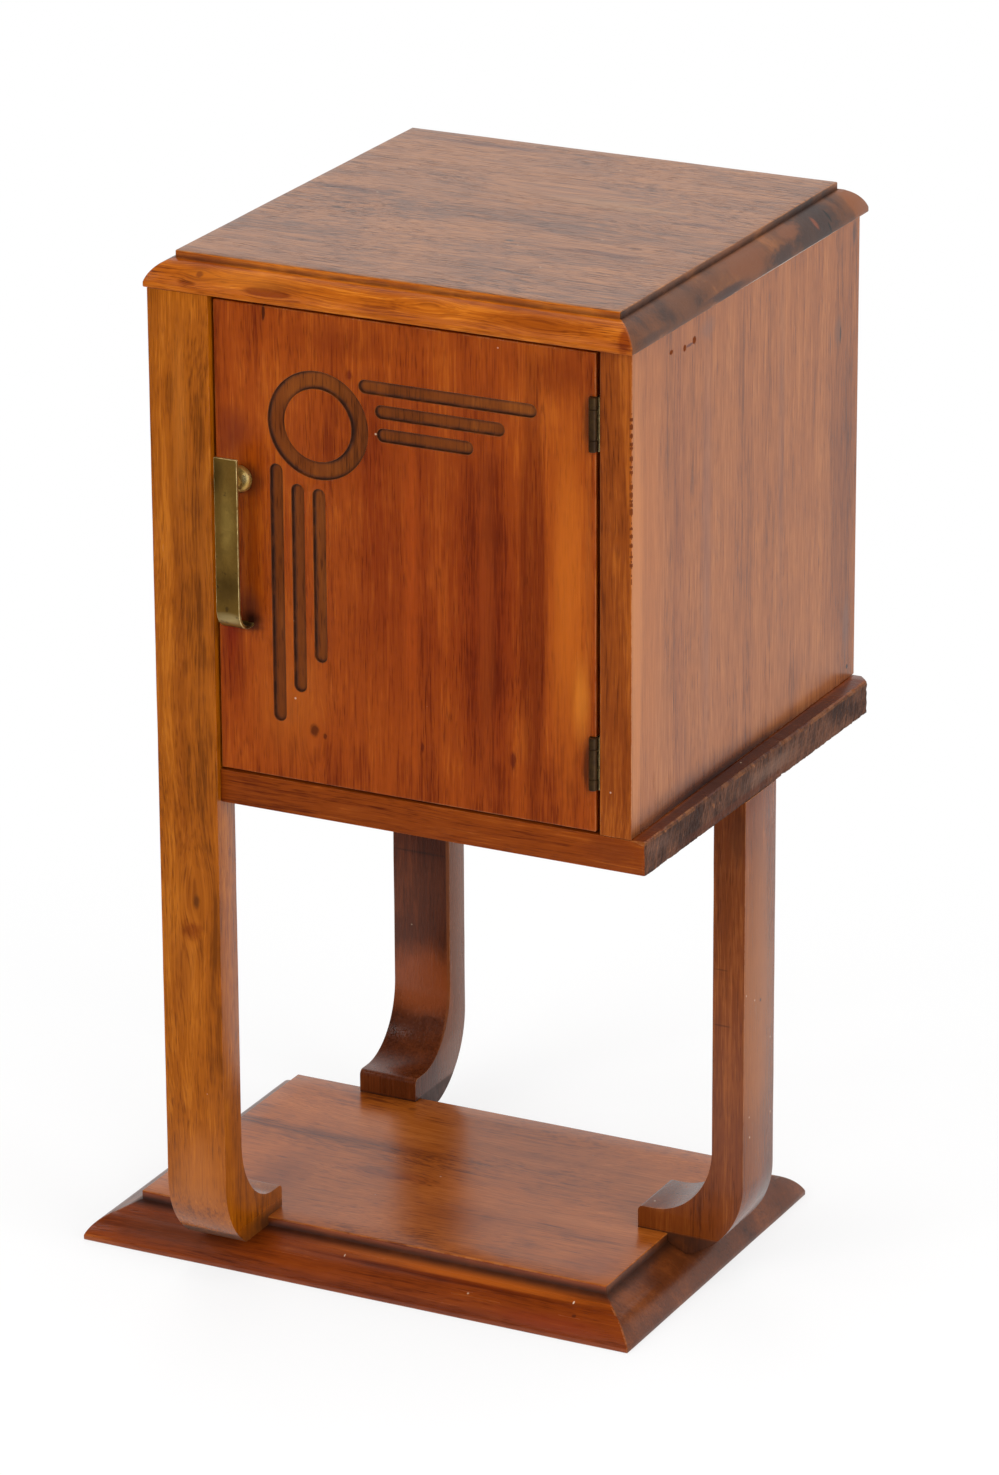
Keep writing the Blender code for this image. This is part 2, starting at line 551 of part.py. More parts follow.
def build_door(axis):
    """The door slab with its carved ring and flutes."""
    bm = box((DOOR_LEFT, DOOR_FACE, DOOR_BOTTOM), (DOOR_RIGHT, DOOR_BACK, DOOR_TOP))
    door = add_piece("door_panel", bm, "door_timber", axis.location, axis)
    ring_x, ring_z = DOOR_LEFT + RING_FROM_LEFT, DOOR_TOP - RING_FROM_TOP
    front, depth = DOOR_FACE - OVERRUN, CARVING_DEPTH + OVERRUN
    rim = [(RING_INNER_RADIUS, 0), (RING_OUTER_RADIUS, 0), (RING_OUTER_RADIUS, depth),
           (RING_INNER_RADIUS, depth), (RING_INNER_RADIUS, 0)]
    change(door, "ring_cutter", turned(rim, (ring_x, front, ring_z), (0, 1, 0), RING_STEPS))
    for count, (across_share, down_share) in enumerate(zip(FLUTE_ACROSS_REACH_SHARES,
                                                           FLUTE_DOWN_REACH_SHARES)):
        offset = count * FLUTE_PITCH
        inside = RING_OUTER_RADIUS ** 2 - offset ** 2
        start = math.sqrt(max(inside, (RING_OUTER_RADIUS / 2) ** 2)) + FLUTE_GAP + count * FLUTE_GAP / 3
        end = across_share * (DOOR_RIGHT - ring_x)
        across = flute_outline(ring_x + start, ring_x + end, ring_z + offset, front)
        change(door, f"flute_across_{count}_cutter", prism(across, (0, depth, 0)))
        end = down_share * (ring_z - DOOR_BOTTOM)
        down = [(ring_x - (z - ring_z), y, ring_z - (x - ring_x)) for x, y, z in
                flute_outline(ring_x + start, ring_x + end, ring_z + offset, front)]
        change(door, f"flute_down_{count}_cutter", prism(down, (0, depth, 0)))
    return door


def flute_outline(start, end, height, front):
    """A long slot with round ends, level, in a plane across the door."""
    radius = FLUTE_WIDTH / 2
    right = ellipse_arc((end - radius, height), radius, radius, -90, 90, SMALL_ARC_STEPS)
    left = ellipse_arc((start + radius, height), radius, radius, 90, 270, SMALL_ARC_STEPS)
    return [(x, front, z) for x, z in right + left]


def build_hinge(name, bottom, axis, door, post):
    """One butt hinge: a leaf on the post, a leaf let into the door's edge, and the pin."""
    top = bottom + HINGE_LENGTH
    knuckle = HINGE_END_KNUCKLE_SHARE * HINGE_LENGTH
    web_front = AXIS_Y + (HINGE_PIN_RADIUS + HINGE_BARREL_RADIUS) / 2 - FIT
    web_back = AXIS_Y + HINGE_BARREL_RADIUS
    leaf_back = AXIS_Y + HINGE_LEAF_DEPTH
    frame_x = POST_LEFT - FIT
    frame_inner = frame_x - HINGE_LEAF_THICKNESS
    door_x = AXIS_X + HINGE_LEAF_THICKNESS

    frame = add_piece(name + "_hinge_frame_leaf",
                      box((frame_inner, web_front, bottom), (frame_x, leaf_back, top)),
                      "aged_brass", at(AXIS_X, AXIS_Y, bottom))
    for end, low in (("lower", bottom), ("upper", top - knuckle)):
        web = box((AXIS_X, web_front, low), (frame_inner + FIT, web_back, low + knuckle))
        change(frame, f"{name}_{end}_web", web, "UNION")
        barrel = rod(HINGE_BARREL_RADIUS, knuckle, (AXIS_X, AXIS_Y, low), (0, 0, 1), BARREL_STEPS)
        change(frame, f"{name}_{end}_knuckle", barrel, "UNION")

    leaf_front = web_back + 2 * FIT
    leaf = add_piece(name + "_hinge_door_leaf",
                     box((AXIS_X, leaf_front, bottom), (door_x, leaf_back, top)),
                     "aged_brass", axis.location, axis)
    low, high = bottom + knuckle + FIT, top - knuckle - FIT
    web = box((AXIS_X, web_front, low), (door_x, leaf_front + FIT, high))
    change(leaf, name + "_middle_web", web, "UNION")
    barrel = rod(HINGE_BARREL_RADIUS, high - low, (AXIS_X, AXIS_Y, low), (0, 0, 1), BARREL_STEPS)
    change(leaf, name + "_middle_knuckle", barrel, "UNION")

    for piece in (frame, leaf):
        bore = rod(HINGE_PIN_RADIUS + FIT, HINGE_LENGTH + 2 * OVERRUN,
                   (AXIS_X, AXIS_Y, bottom - OVERRUN), (0, 0, 1))
        change(piece, piece.name + "_bore", bore)
    pin = rod(HINGE_PIN_RADIUS, HINGE_LENGTH, (AXIS_X, AXIS_Y, bottom), (0, 0, 1))
    add_piece(name + "_hinge_pin", pin, "aged_brass", at(AXIS_X, AXIS_Y, bottom))

    clear = HINGE_BARREL_RADIUS + FIT
    notch = box((AXIS_X - clear, AXIS_Y - clear - OVERRUN, bottom - FIT),
                (DOOR_RIGHT + OVERRUN, leaf_front, top + FIT))
    change(door, name + "_barrel_notch", notch)
    mortise = box((AXIS_X - FIT, leaf_front - OVERRUN, bottom - FIT),
                  (DOOR_RIGHT + OVERRUN, leaf_back + FIT, top + FIT))
    change(door, name + "_leaf_mortise", mortise)

    screw_y = (leaf_front + leaf_back) / 2
    for place, share in zip(("lower", "upper"), HINGE_SCREW_SHARES):
        z = bottom + share * HINGE_LENGTH
        drive(f"{name}_hinge_frame_{place}_screw", SMALL_SCREW, (frame_inner, screw_y, z), (1, 0, 0),
              (frame, post), "aged_brass")
        drive(f"{name}_hinge_door_{place}_screw", SMALL_SCREW, (door_x, screw_y, z), (-1, 0, 0),
              (leaf, door), "aged_brass", axis)


def build_handle(axis, door):
    """The flat brass strap, the post behind its upper end and the screw that holds the post."""
    outer = STRAP_BEND_RADIUS
    inner = STRAP_BEND_RADIUS - STRAP_THICKNESS
    bottom = STRAP_TOP - STRAP_HEIGHT
    seat = DOOR_FACE - FIT
    bend = (STRAP_FRONT + STRAP_BEND_RADIUS, bottom + STRAP_BEND_RADIUS)
    side = [(STRAP_FRONT, STRAP_TOP)] + ellipse_arc(bend, outer, outer, 180, 270)
    side += [(seat, bottom), (seat, bottom + STRAP_THICKNESS)]
    side += ellipse_arc(bend, inner, inner, 270, 180)
    side += [(STRAP_FRONT + STRAP_THICKNESS, STRAP_TOP)]
    bm = prism([(STRAP_LEFT, y, z) for y, z in side], (STRAP_WIDTH, 0, 0))
    strap = add_piece("handle_strap", bm, "aged_brass", axis.location, axis)
    tang_left, tang_right = STRAP_MIDDLE - STRAP_TANG_WIDTH / 2, STRAP_MIDDLE + STRAP_TANG_WIDTH / 2
    tang_end = DOOR_FACE + STRAP_TANG_LENGTH
    tang = box((tang_left, seat - OVERRUN, bottom), (tang_right, tang_end, bottom + STRAP_THICKNESS))
    change(strap, "strap_tang", tang, "UNION")
    slot = box((tang_left - FIT, seat - OVERRUN, bottom - FIT),
               (tang_right + FIT, tang_end + FIT, bottom + STRAP_THICKNESS + FIT))
    change(door, "strap_tang_slot", slot)

    post_z = STRAP_TOP - POST_FROM_STRAP_TOP
    post_length = STRAP_STANDOFF - STRAP_THICKNESS - 2 * FIT
    dome = ellipse_arc((0, 0), POST_DOME_RADIUS, POST_DOME_HEIGHT, 0, POST_DOME_SWEEP, SMALL_ARC_STEPS)
    profile = [(0, 0)] + dome + [(POST_NECK_RADIUS, post_length), (0, post_length)]
    bm = turned(profile, (STRAP_MIDDLE, seat, post_z), (0, -1, 0), BARREL_STEPS)
    post = add_piece("handle_post", bm, "aged_brass", axis.location, axis)
    drive("handle_screw", HANDLE_SCREW, (STRAP_MIDDLE, DOOR_BACK, post_z), (0, -1, 0), (door, post),
          parent=axis)


def build_catch(axis, door, rail):
    """A small magnetic catch under the front rail and its plate on the door."""
    left, right = CATCH_FROM_LEFT, CATCH_FROM_LEFT + CATCH_LENGTH
    high = RAIL_BOTTOM - FIT
    front = DOOR_BACK + CATCH_PLATE_THICKNESS + 2 * FIT
    back = front + CATCH_DEPTH
    middle = (front + back) / 2
    bm = box((left + CATCH_EAR_LENGTH, front, high - CATCH_HEIGHT),
             (right - CATCH_EAR_LENGTH, back, high))
    case = add_piece("catch_case", bm, "catch_plastic", at((left + right) / 2, front, high))
    ears = box((left, front + FIT, high - CATCH_EAR_THICKNESS), (right, back - FIT, high - FIT))
    change(case, "catch_ears", ears, "UNION")
    for side, x in (("left", left + CATCH_EAR_LENGTH / 2), ("right", right - CATCH_EAR_LENGTH / 2)):
        drive(f"catch_{side}_screw", SMALL_SCREW, (x, middle, high - CATCH_EAR_THICKNESS), (0, 0, 1),
              (case, rail))
    plate_x, plate_z = (left + right) / 2, high - CATCH_HEIGHT / 2
    plate_front = DOOR_BACK + FIT
    plate_back = plate_front + CATCH_PLATE_THICKNESS
    bm = box((plate_x - CATCH_PLATE_LENGTH / 2, plate_front, plate_z - CATCH_PLATE_HEIGHT / 2),
             (plate_x + CATCH_PLATE_LENGTH / 2, plate_back, plate_z + CATCH_PLATE_HEIGHT / 2))
    plate = add_piece("catch_plate", bm, "steel", axis.location, axis)
    drive("catch_plate_screw", SMALL_SCREW, (plate_x, plate_back, plate_z), (0, -1, 0),
          (plate, door), parent=axis)


def set_dowel(name, place, direction, pieces):
    """A dowel across a joint, half in each piece."""
    along = Vector(direction)
    start = Vector(place) - along * DOWEL_LENGTH / 2
    add_piece(name, rod(DOWEL_RADIUS, DOWEL_LENGTH, start, along), "plain_timber", at(*start))
    for piece in pieces:
        hole = rod(DOWEL_RADIUS + FIT, DOWEL_LENGTH + 2 * FIT, start - along * FIT, along)
        change(piece, name + "_hole_in_" + piece.name, hole)


def build_cabinet():
    """Make every piece and join them."""
    clear_scene()
    axis = bpy.data.objects.new("door_hinge_axis", None)
    bpy.context.collection.objects.link(axis)
    axis.location = at(AXIS_X, AXIS_Y, (DOOR_BOTTOM + DOOR_TOP) / 2)

    top = build_top_board()
    base = build_base_board()
    board = build_bottom_board()
    front_leg = build_left_leg("front_left_leg", 0, 1, FIELD_FRONT, RISER_FOOT, "yellow_timber")
    back_leg = build_left_leg("back_left_leg", BODY_DEPTH, -1, BODY_DEPTH - FIELD_BACK, BAND_FOOT,
                              "dark_timber")
    right_leg = build_right_leg()
    post = build_post()
    left_panel, right_panel, back_panel = build_panels()
    front_rail, back_rail = build_rails()
    build_shelf(left_panel, right_panel)
    door = build_door(axis)
    build_hinge("lower", DOOR_BOTTOM + HINGE_FROM_END, axis, door, post)
    build_hinge("upper", DOOR_TOP - HINGE_FROM_END - HINGE_LENGTH, axis, door, post)
    build_handle(axis, door)
    build_catch(axis, door, front_rail)

    foot_places = ((front_leg, LEG_WIDTH / 2, FOOT_SCREW_DEPTH),
                   (back_leg, LEG_WIDTH / 2, BODY_DEPTH - FOOT_SCREW_DEPTH),
                   (right_leg, RIGHT_LEG_FACE - FOOT_SCREW_DEPTH, BODY_DEPTH / 2))
    for leg, x, y in foot_places:
        drive(leg.name + "_screw", FOOT_SCREW, (x, y, BASE_COUNTERBORE), (0, 0, 1), (base, leg))
        bore = rod(WOOD_SCREW_HEAD + FIT, BASE_COUNTERBORE + OVERRUN, (x, y, -OVERRUN), (0, 0, 1))
        change(base, leg.name + "_counterbore", bore)

    middle_z = (BOARD_TOP_HEIGHT + BOARD_UNDERSIDE) / 2
    right_x = RIGHT_LEG_FACE - LEG_THICKNESS / 2
    for side, offset in (("first", -DOWEL_SPREAD / 2), ("second", DOWEL_SPREAD / 2)):
        left_x, right_y = LEG_WIDTH / 2 + offset, BODY_DEPTH / 2 + offset
        back_y = BODY_DEPTH - LEG_THICKNESS
        joints = (("front_leg_dowel_", front_leg, (left_x, LEG_THICKNESS, middle_z), (0, 1, 0)),
                  ("back_leg_dowel_", back_leg, (left_x, back_y, middle_z), (0, 1, 0)),
                  ("right_leg_dowel_", right_leg, (right_x, right_y, BOARD_UNDERSIDE), (0, 0, 1)))
        for name, leg, place, direction in joints:
            set_dowel(name + side, place, direction, (leg, board))

    rails = ((front_rail, RAIL_FRONT + RAIL_DEPTH / 2), (back_rail, BACK_RAIL_FRONT + RAIL_DEPTH / 2))
    for rail, y in rails:
        for side, x in (("left", BODY_WIDTH / 3), ("right", 2 * BODY_WIDTH / 3)):
            drive(f"{rail.name}_{side}_screw", TOP_SCREW, (x, y, RAIL_BOTTOM), (0, 0, 1), (rail, top))
    for side, x in (("left", BODY_WIDTH / 4), ("middle", BODY_WIDTH / 2), ("right", 3 * BODY_WIDTH / 4)):
        drive(f"back_panel_{side}_pin", PANEL_PIN, (x, BODY_DEPTH, RAIL_BOTTOM + RAIL_HEIGHT / 2),
              (0, -1, 0), (back_panel, back_rail))


build_cabinet()
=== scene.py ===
"""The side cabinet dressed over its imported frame: varnished timber, carving, brass and old wear.

Everything is in metres in the frame's own axes: +Z up, the door faces -Y, its hinges are at +X.
Marks on the finishes are placed and sized in millimetres, and colours are given as red, green and
blue from 0 to 255, as they look on a screen.
"""

import json
import logging
import math
from dataclasses import dataclass
from enum import Enum
from typing import Callable, Iterable, Self, Sequence

import bmesh
import bpy
from mathutils import Matrix, Vector, noise


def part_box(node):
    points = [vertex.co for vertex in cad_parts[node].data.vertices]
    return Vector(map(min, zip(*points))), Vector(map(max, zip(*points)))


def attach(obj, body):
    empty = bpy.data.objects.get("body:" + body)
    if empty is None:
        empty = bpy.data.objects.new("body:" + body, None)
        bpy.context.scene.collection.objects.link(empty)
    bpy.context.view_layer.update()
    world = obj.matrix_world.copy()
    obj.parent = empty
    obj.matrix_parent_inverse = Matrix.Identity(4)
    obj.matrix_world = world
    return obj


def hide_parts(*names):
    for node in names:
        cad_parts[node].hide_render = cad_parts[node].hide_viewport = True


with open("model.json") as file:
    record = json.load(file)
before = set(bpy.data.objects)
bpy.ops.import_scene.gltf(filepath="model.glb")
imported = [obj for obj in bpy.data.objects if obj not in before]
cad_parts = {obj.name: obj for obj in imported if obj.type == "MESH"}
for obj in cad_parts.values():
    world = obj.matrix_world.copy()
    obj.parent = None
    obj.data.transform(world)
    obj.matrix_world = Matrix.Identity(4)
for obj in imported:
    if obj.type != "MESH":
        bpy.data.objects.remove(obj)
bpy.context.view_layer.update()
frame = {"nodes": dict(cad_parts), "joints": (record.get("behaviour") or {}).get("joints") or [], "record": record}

log = logging.getLogger("side_cabinet")
MM = 0.001
FIT = 0.3 * MM
NOISE_SEED = 1
BASE_THICK = 32 * MM
BASE_RISER = 6.5 * MM
BASE_BAND = 14.5 * MM
BASE_DROP = 7 * MM
BASE_MOULDING = 31 * MM
MERGE = 0.001 * MM
CUT_REACH = 0.0005 * MM
ORIGIN = (0.0, 0.0, 0.0)
Rgb = tuple[int, int, int]
Colour = tuple[float, float, float, float]
Place = tuple[float, float, float]
Profile = list[tuple[float, float]]
Wire = bpy.types.NodeSocket
Feed = Wire | float | tuple
Test = Callable[[bmesh.types.BMEdge], bool]
BODIES = frame["record"]["behaviour"]["bodies"]
HINGE_AXIS = Vector(frame["joints"][0]["pos_m"])


def srgb(shown: Rgb) -> Colour:
    """Turn a colour into the linear values that a shader takes.

    Args:
        shown: red, green and blue as they look on a screen.

    Returns:
        The linear colour with full alpha.
    """
    shares = [value / 255 for value in shown]
    linear = [share / 12.92 if share <= 0.04045 else ((share + 0.055) / 1.055) ** 2.4 for share in shares]
    return linear[0], linear[1], linear[2], 1.0


class Grain(Enum):
    """Which way the grain of a board runs, as the turn that brings it to the pattern's X axis."""

    ACROSS = ORIGIN
    DEEP = (0.0, 0.0, -math.pi / 2)
    UP = (0.0, math.pi / 2, 0.0)


class Socket(Enum):
    """The kinds of socket that the shared effects have."""

    VALUE = "NodeSocketFloat"
    COLOUR = "NodeSocketColor"
    VECTOR = "NodeSocketVector"


class Blend(Enum):
    """How a mark's colour meets the one under it."""

    COVER = "MIX"
    DARKEN = "MULTIPLY"


class Graph:
    """Short calls for making the nodes of one tree."""

    def __init__(self, tree: bpy.types.NodeTree) -> None:
        """Keep the tree that the nodes go into."""
        self.tree = tree

    def feed(self, socket: Wire, value: Feed) -> None:
        """Link a socket to another one, or set its own value.

        Args:
            socket: the input.
            value: the output to link it to, or a plain value.
        """
        if isinstance(value, Wire):
            self.tree.links.new(value, socket)
        else:
            socket.default_value = value

    def node(self, kind: str, settings: dict | None = None, inputs: dict | None = None) -> bpy.types.Node:
        """Add one node.

        Args:
            kind: the node's type name.
            settings: values of its own options.
            inputs: values or sockets for its inputs, by name or number.

        Returns:
            The node.
        """
        node = self.tree.nodes.new(kind)
        for key, value in (settings or {}).items():
            setattr(node, key, value)
        for key, value in (inputs or {}).items():
            self.feed(node.inputs[key], value)
        return node

    def math(self, operation: str, first: Feed, second: Feed = 0.0, third: Feed = 0.0,
             clamp: bool = False) -> Wire:
        """The result of one sum on values."""
        settings = {"operation": operation, "use_clamp": clamp}
        return self.node("ShaderNodeMath", settings, {0: first, 1: second, 2: third}).outputs[0]

    def vector(self, operation: str, first: Feed, second: Feed = ORIGIN, third: Feed = ORIGIN) -> Wire:
        """The vector result of one sum on vectors."""
        inputs = {0: first, 1: second, 2: third}
        return self.node("ShaderNodeVectorMath", {"operation": operation}, inputs).outputs["Vector"]

    def length(self, vector: Feed) -> Wire:
        """How long a vector is."""
        return self.node("ShaderNodeVectorMath", {"operation": "LENGTH"}, {0: vector}).outputs["Value"]

    def combine(self, x: Feed, y: Feed, z: Feed) -> Wire:
        """A vector from its three parts."""
        return self.node("ShaderNodeCombineXYZ", None, {0: x, 1: y, 2: z}).outputs[0]

    def noise(self, vector: Feed, scale: float, detail: float = 2.0, rough: float = 0.5,
              bend: float = 0.0) -> Wire:
        """Smooth noise from 0 to 1."""
        inputs = {"Vector": vector, "Scale": scale, "Detail": detail, "Roughness": rough, "Distortion": bend}
        return self.node("ShaderNodeTexNoise", None, inputs).outputs[0]

    def stretched(self, vector: Feed, scales: Feed, detail: float = 2.0, rough: float = 0.5,
                  bend: float = 0.0) -> Wire:
        """Smooth noise that repeats at its own scale along each axis."""
        return self.noise(self.vector("MULTIPLY", vector, scales), 1.0, detail, rough, bend)

    def step(self, value: Feed, start: Feed, end: Feed, low: Feed = 0.0, high: Feed = 1.0) -> Wire:
        """A soft step from low to high while a value goes from start to end."""
        inputs = {"Value": value, "From Min": start, "From Max": end, "To Min": low, "To Max": high}
        return self.node("ShaderNodeMapRange", {"interpolation_type": "SMOOTHSTEP"}, inputs).outputs[0]

    def mix(self, factor: Feed, first: Feed, second: Feed, blend: Blend = Blend.COVER) -> Wire:
        """Two colours mixed."""
        settings = {"data_type": "RGBA", "blend_type": blend.value}
        return self.node("ShaderNodeMix", settings, {0: factor, 6: first, 7: second}).outputs[2]

    def draw_in(self, share: Feed, place: Feed, centre: Place) -> Wire:
        """A place drawn in towards a centre by a share from 0 to 1."""
        return self.node("ShaderNodeMix", {"data_type": "VECTOR"}, {0: share, 4: place, 5: centre}).outputs[1]

    def turn(self, vector: Feed, angles: Place) -> Wire:
        """A vector turned about the three axes."""
        inputs = {"Vector": vector, "Rotation": angles}
        return self.node("ShaderNodeMapping", {"vector_type": "POINT"}, inputs).outputs[0]

    def attribute(self, name: str) -> Wire:
        """The marks that the piece's mesh carries under a name."""
        return self.node("ShaderNodeAttribute", {"attribute_name": name}).outputs["Fac"]

    def bump(self, height: Feed, distance: float) -> Wire:
        """A normal from a height, with its distance in metres."""
        return self.node("ShaderNodeBump", None, {"Distance": distance, "Height": height}).outputs[0]

    def effect(self, effect: "Effect", inputs: dict) -> bpy.types.NodeOutputs:
        """Place a shared effect with its own values, and give its outlets."""
        return self.node("ShaderNodeGroup", {"node_tree": effect.tree()}, inputs).outputs


@dataclass(frozen=True)
class Port:
    """One named socket of a shared effect."""

    name: str
    kind: Socket = Socket.VALUE
    start: float | Colour = 0.0


class Effect:
    """A shader node group that is built once and used by several finishes."""

    title: str
    inlets: tuple[Port, ...]
    outlets: tuple[Port, ...]

    def tree(self) -> bpy.types.NodeTree:
        """Build the group's tree when it is first asked for.

        Returns:
            The tree, found by its title from then on.
        """
        made = bpy.data.node_groups.get(self.title)
        if made is not None:
            return made
        tree = bpy.data.node_groups.new(self.title, "ShaderNodeTree")
        for ports, side in ((self.inlets, "INPUT"), (self.outlets, "OUTPUT")):
            for port in ports:
                socket = tree.interface.new_socket(port.name, in_out=side, socket_type=port.kind.value)
                if side == "INPUT" and port.kind is not Socket.VECTOR:
                    socket.default_value = port.start
        graph = Graph(tree)
        entry = tree.nodes.new("NodeGroupInput")
        leaving = tree.nodes.new("NodeGroupOutput")
        for name, value in self.fill(graph, entry.outputs).items():
            graph.feed(leaving.inputs[name], value)
        return tree

    def fill(self, g: Graph, given: bpy.types.NodeOutputs) -> dict[str, Wire]:
        """Make the group's nodes, and give what leaves by each outlet."""
        raise NotImplementedError


class TimberFigure(Effect):
    """Bands, streaks, fine fibres and open pores, with the grain along the pattern's X axis."""

    title = "timber_figure"
    inlets = (Port("Vector", Socket.VECTOR), Port("Seed"), Port("Bands", start=36.0),
              Port("Contrast", start=1.0), Port("Streaks", start=1.0), Port("Pores", start=0.5),
              Port("Wander", start=0.02), Port("Dark", Socket.COLOUR, srgb((90, 45, 20))),
              Port("Middle", Socket.COLOUR, srgb((140, 75, 30))),
              Port("Light", Socket.COLOUR, srgb((180, 110, 50))))
    outlets = (Port("Color", Socket.COLOUR), Port("Height"), Port("Gloss"))
    seed_step: Place = (3.1, 5.7, 2.3)
    drift_scales: Place = (3.0, 7.0, 7.0)
    bands_along: float = 1.7
    streak_scales: Place = (15.0, 400.0, 400.0)
    fibre_scales: Place = (38.0, 1000.0, 1000.0)
    tick_scales: Place = (75.0, 1050.0, 1050.0)
    group_scales: Place = (9.0, 60.0, 60.0)
    blotch_scale: float = 14.0
    weights: tuple[float, ...] = (1.0, 0.8, 0.75, 0.75)
    pore_shade: Colour = (0.42, 0.34, 0.30, 1.0)

    def fill(self, g: Graph, given: bpy.types.NodeOutputs) -> dict[str, Wire]:
        """Make the nodes of the figure.

        Args:
            g: the graph that they go into.
            given: what comes in by each inlet.

        Returns:
            The colour, the height for a bump and how the gloss changes.
        """
        seed, across, contrast = given["Seed"], given["Bands"], given["Contrast"]
        place = g.vector("MULTIPLY_ADD", g.combine(seed, seed, seed), self.seed_step, given["Vector"])
        drift = g.math("SUBTRACT", g.stretched(place, self.drift_scales), 0.5)
        drift = g.math("MULTIPLY", drift, given["Wander"])
        bent = g.vector("ADD", place, g.combine(0.0, drift, drift))
        bands = g.stretched(bent, g.combine(self.bands_along, across, across), 2.0, 0.55, 0.3)
        streaks = g.stretched(bent, self.streak_scales, 3.0, 0.62)
        fibres = g.stretched(bent, self.fibre_scales, 2.0, 0.6)
        ticks = g.stretched(bent, self.tick_scales, 1.0)
        blotch = g.noise(place, self.blotch_scale, 4.0, 0.62)
        groups = g.stretched(bent, self.group_scales)
        pores = g.math("MULTIPLY", g.step(ticks, 0.52, 0.74), g.step(groups, 0.3, 0.65, 0.35, 1.0))
        bold = g.math("MULTIPLY", contrast, given["Streaks"])
        figure = 0.5
        layers = ((bands, contrast), (blotch, contrast), (streaks, bold), (fibres, bold))
        for (layer, strength), weight in zip(layers, self.weights):
            centred = g.math("MULTIPLY", g.math("SUBTRACT", layer, 0.5), weight)
            figure = g.math("MULTIPLY_ADD", centred, strength, figure)
        colour = g.mix(g.step(figure, 0.18, 0.5), given["Dark"], given["Middle"])
        colour = g.mix(g.step(figure, 0.5, 0.82), colour, given["Light"])
        colour = g.mix(g.math("MULTIPLY", pores, given["Pores"]), colour, self.pore_shade, Blend.DARKEN)
        height = g.math("SUBTRACT", g.math("MULTIPLY", streaks, 0.35), g.math("MULTIPLY", pores, 0.6))
        height = g.math("MULTIPLY_ADD", fibres, 0.25, height)
        gloss = g.math("MULTIPLY_ADD", streaks, 0.5, g.math("MULTIPLY", blotch, 0.5))
        return {"Color": colour, "Height": height, "Gloss": gloss}


class SoftPatch(Effect):
    """A soft, ragged spot or streak at a given place."""

    title = "soft_patch"
    inlets = (Port("Vector", Socket.VECTOR), Port("Centre", Socket.VECTOR), Port("Size", Socket.VECTOR),
              Port("Ragged", start=0.5), Port("Softness", start=0.5), Port("Strength", start=1.0))
    outlets = (Port("Mask"),)

    def fill(self, g: Graph, given: bpy.types.NodeOutputs) -> dict[str, Wire]:
        """Make the nodes of the spot.

        Args:
            g: the graph that they go into.
            given: what comes in by each inlet.

        Returns:
            Where the spot is.
        """
        offset = g.vector("DIVIDE", g.vector("SUBTRACT", given["Vector"], given["Centre"]), given["Size"])
        torn = g.math("SUBTRACT", g.noise(g.vector("ADD", offset, given["Centre"]), 2.2, 4.0, 0.65), 0.5)
        edge = g.math("MULTIPLY_ADD", torn, given["Ragged"], g.length(offset))
        inner = g.math("SUBTRACT", 1.0, given["Softness"])
        mask = g.math("SUBTRACT", 1.0, g.step(edge, inner, 1.0))
        return {"Mask": g.math("MULTIPLY", mask, given["Strength"])}


class EdgeWearAndShade(Effect):
    """Rubbed arrises, and darkening by the piece's own marks: soiling, and painted shade at risers and in grooves.
    """

    title = "edge_wear_and_shade"
    inlets = (Port("Vector", Socket.VECTOR), Port("Rub", start=0.6), Port("DirtAndShadeAmount", start=0.7),
              Port("Uneven", start=0.4))
    outlets = (Port("Worn"), Port("DirtAndShade"))

    def fill(self, g: Graph, given: bpy.types.NodeOutputs) -> dict[str, Wire]:
        """Make the nodes of the wear.

        Args:
            g: the graph that they go into.
            given: what comes in by each inlet.

        Returns:
            The rubbed places and the darkened ones.
        """
        patchy = g.noise(given["Vector"], 60.0, 4.0, 0.65)
        worn = g.math("MULTIPLY", g.step(g.attribute("arris"), 0.25, 0.9), g.step(patchy, 0.38, 0.62))
        spread = g.step(g.noise(given["Vector"], 90.0, 3.0, 0.6), 0.25, 0.6)
        spread = g.math("MULTIPLY_ADD", spread, given["Uneven"], g.math("SUBTRACT", 1.0, given["Uneven"]))
        darkened_share = g.math("MULTIPLY", g.step(g.attribute("grime_and_shade"), 0.1, 0.9), spread)
        return {"Worn": g.math("MULTIPLY", worn, given["Rub"]),
                "DirtAndShade": g.math("MULTIPLY", darkened_share, given["DirtAndShadeAmount"])}


class Specks(Effect):
    """Small scattered flecks, such as dust, wax and pinholes."""

    title = "specks"
    inlets = (Port("Vector", Socket.VECTOR), Port("Spacing", start=90.0), Port("Amount", start=0.1))
    outlets = (Port("Mask"),)

    def fill(self, g: Graph, given: bpy.types.NodeOutputs) -> dict[str, Wire]:
        """Make the nodes of the flecks.

        Args:
            g: the graph that they go into.
            given: what comes in by each inlet.

        Returns:
            Where the flecks are.
        """
        inputs = {"Vector": given["Vector"], "Scale": given["Spacing"], "Randomness": 1.0}
        cells = g.node("ShaderNodeTexVoronoi", None, inputs).outputs
        near = g.math("SUBTRACT", 1.0, g.step(cells["Distance"], 0.05, 0.11))
        pick = g.node("ShaderNodeSeparateColor", None, {0: cells["Color"]}).outputs[0]
        return {"Mask": g.math("MULTIPLY", near, g.math("LESS_THAN", pick, given["Amount"]))}


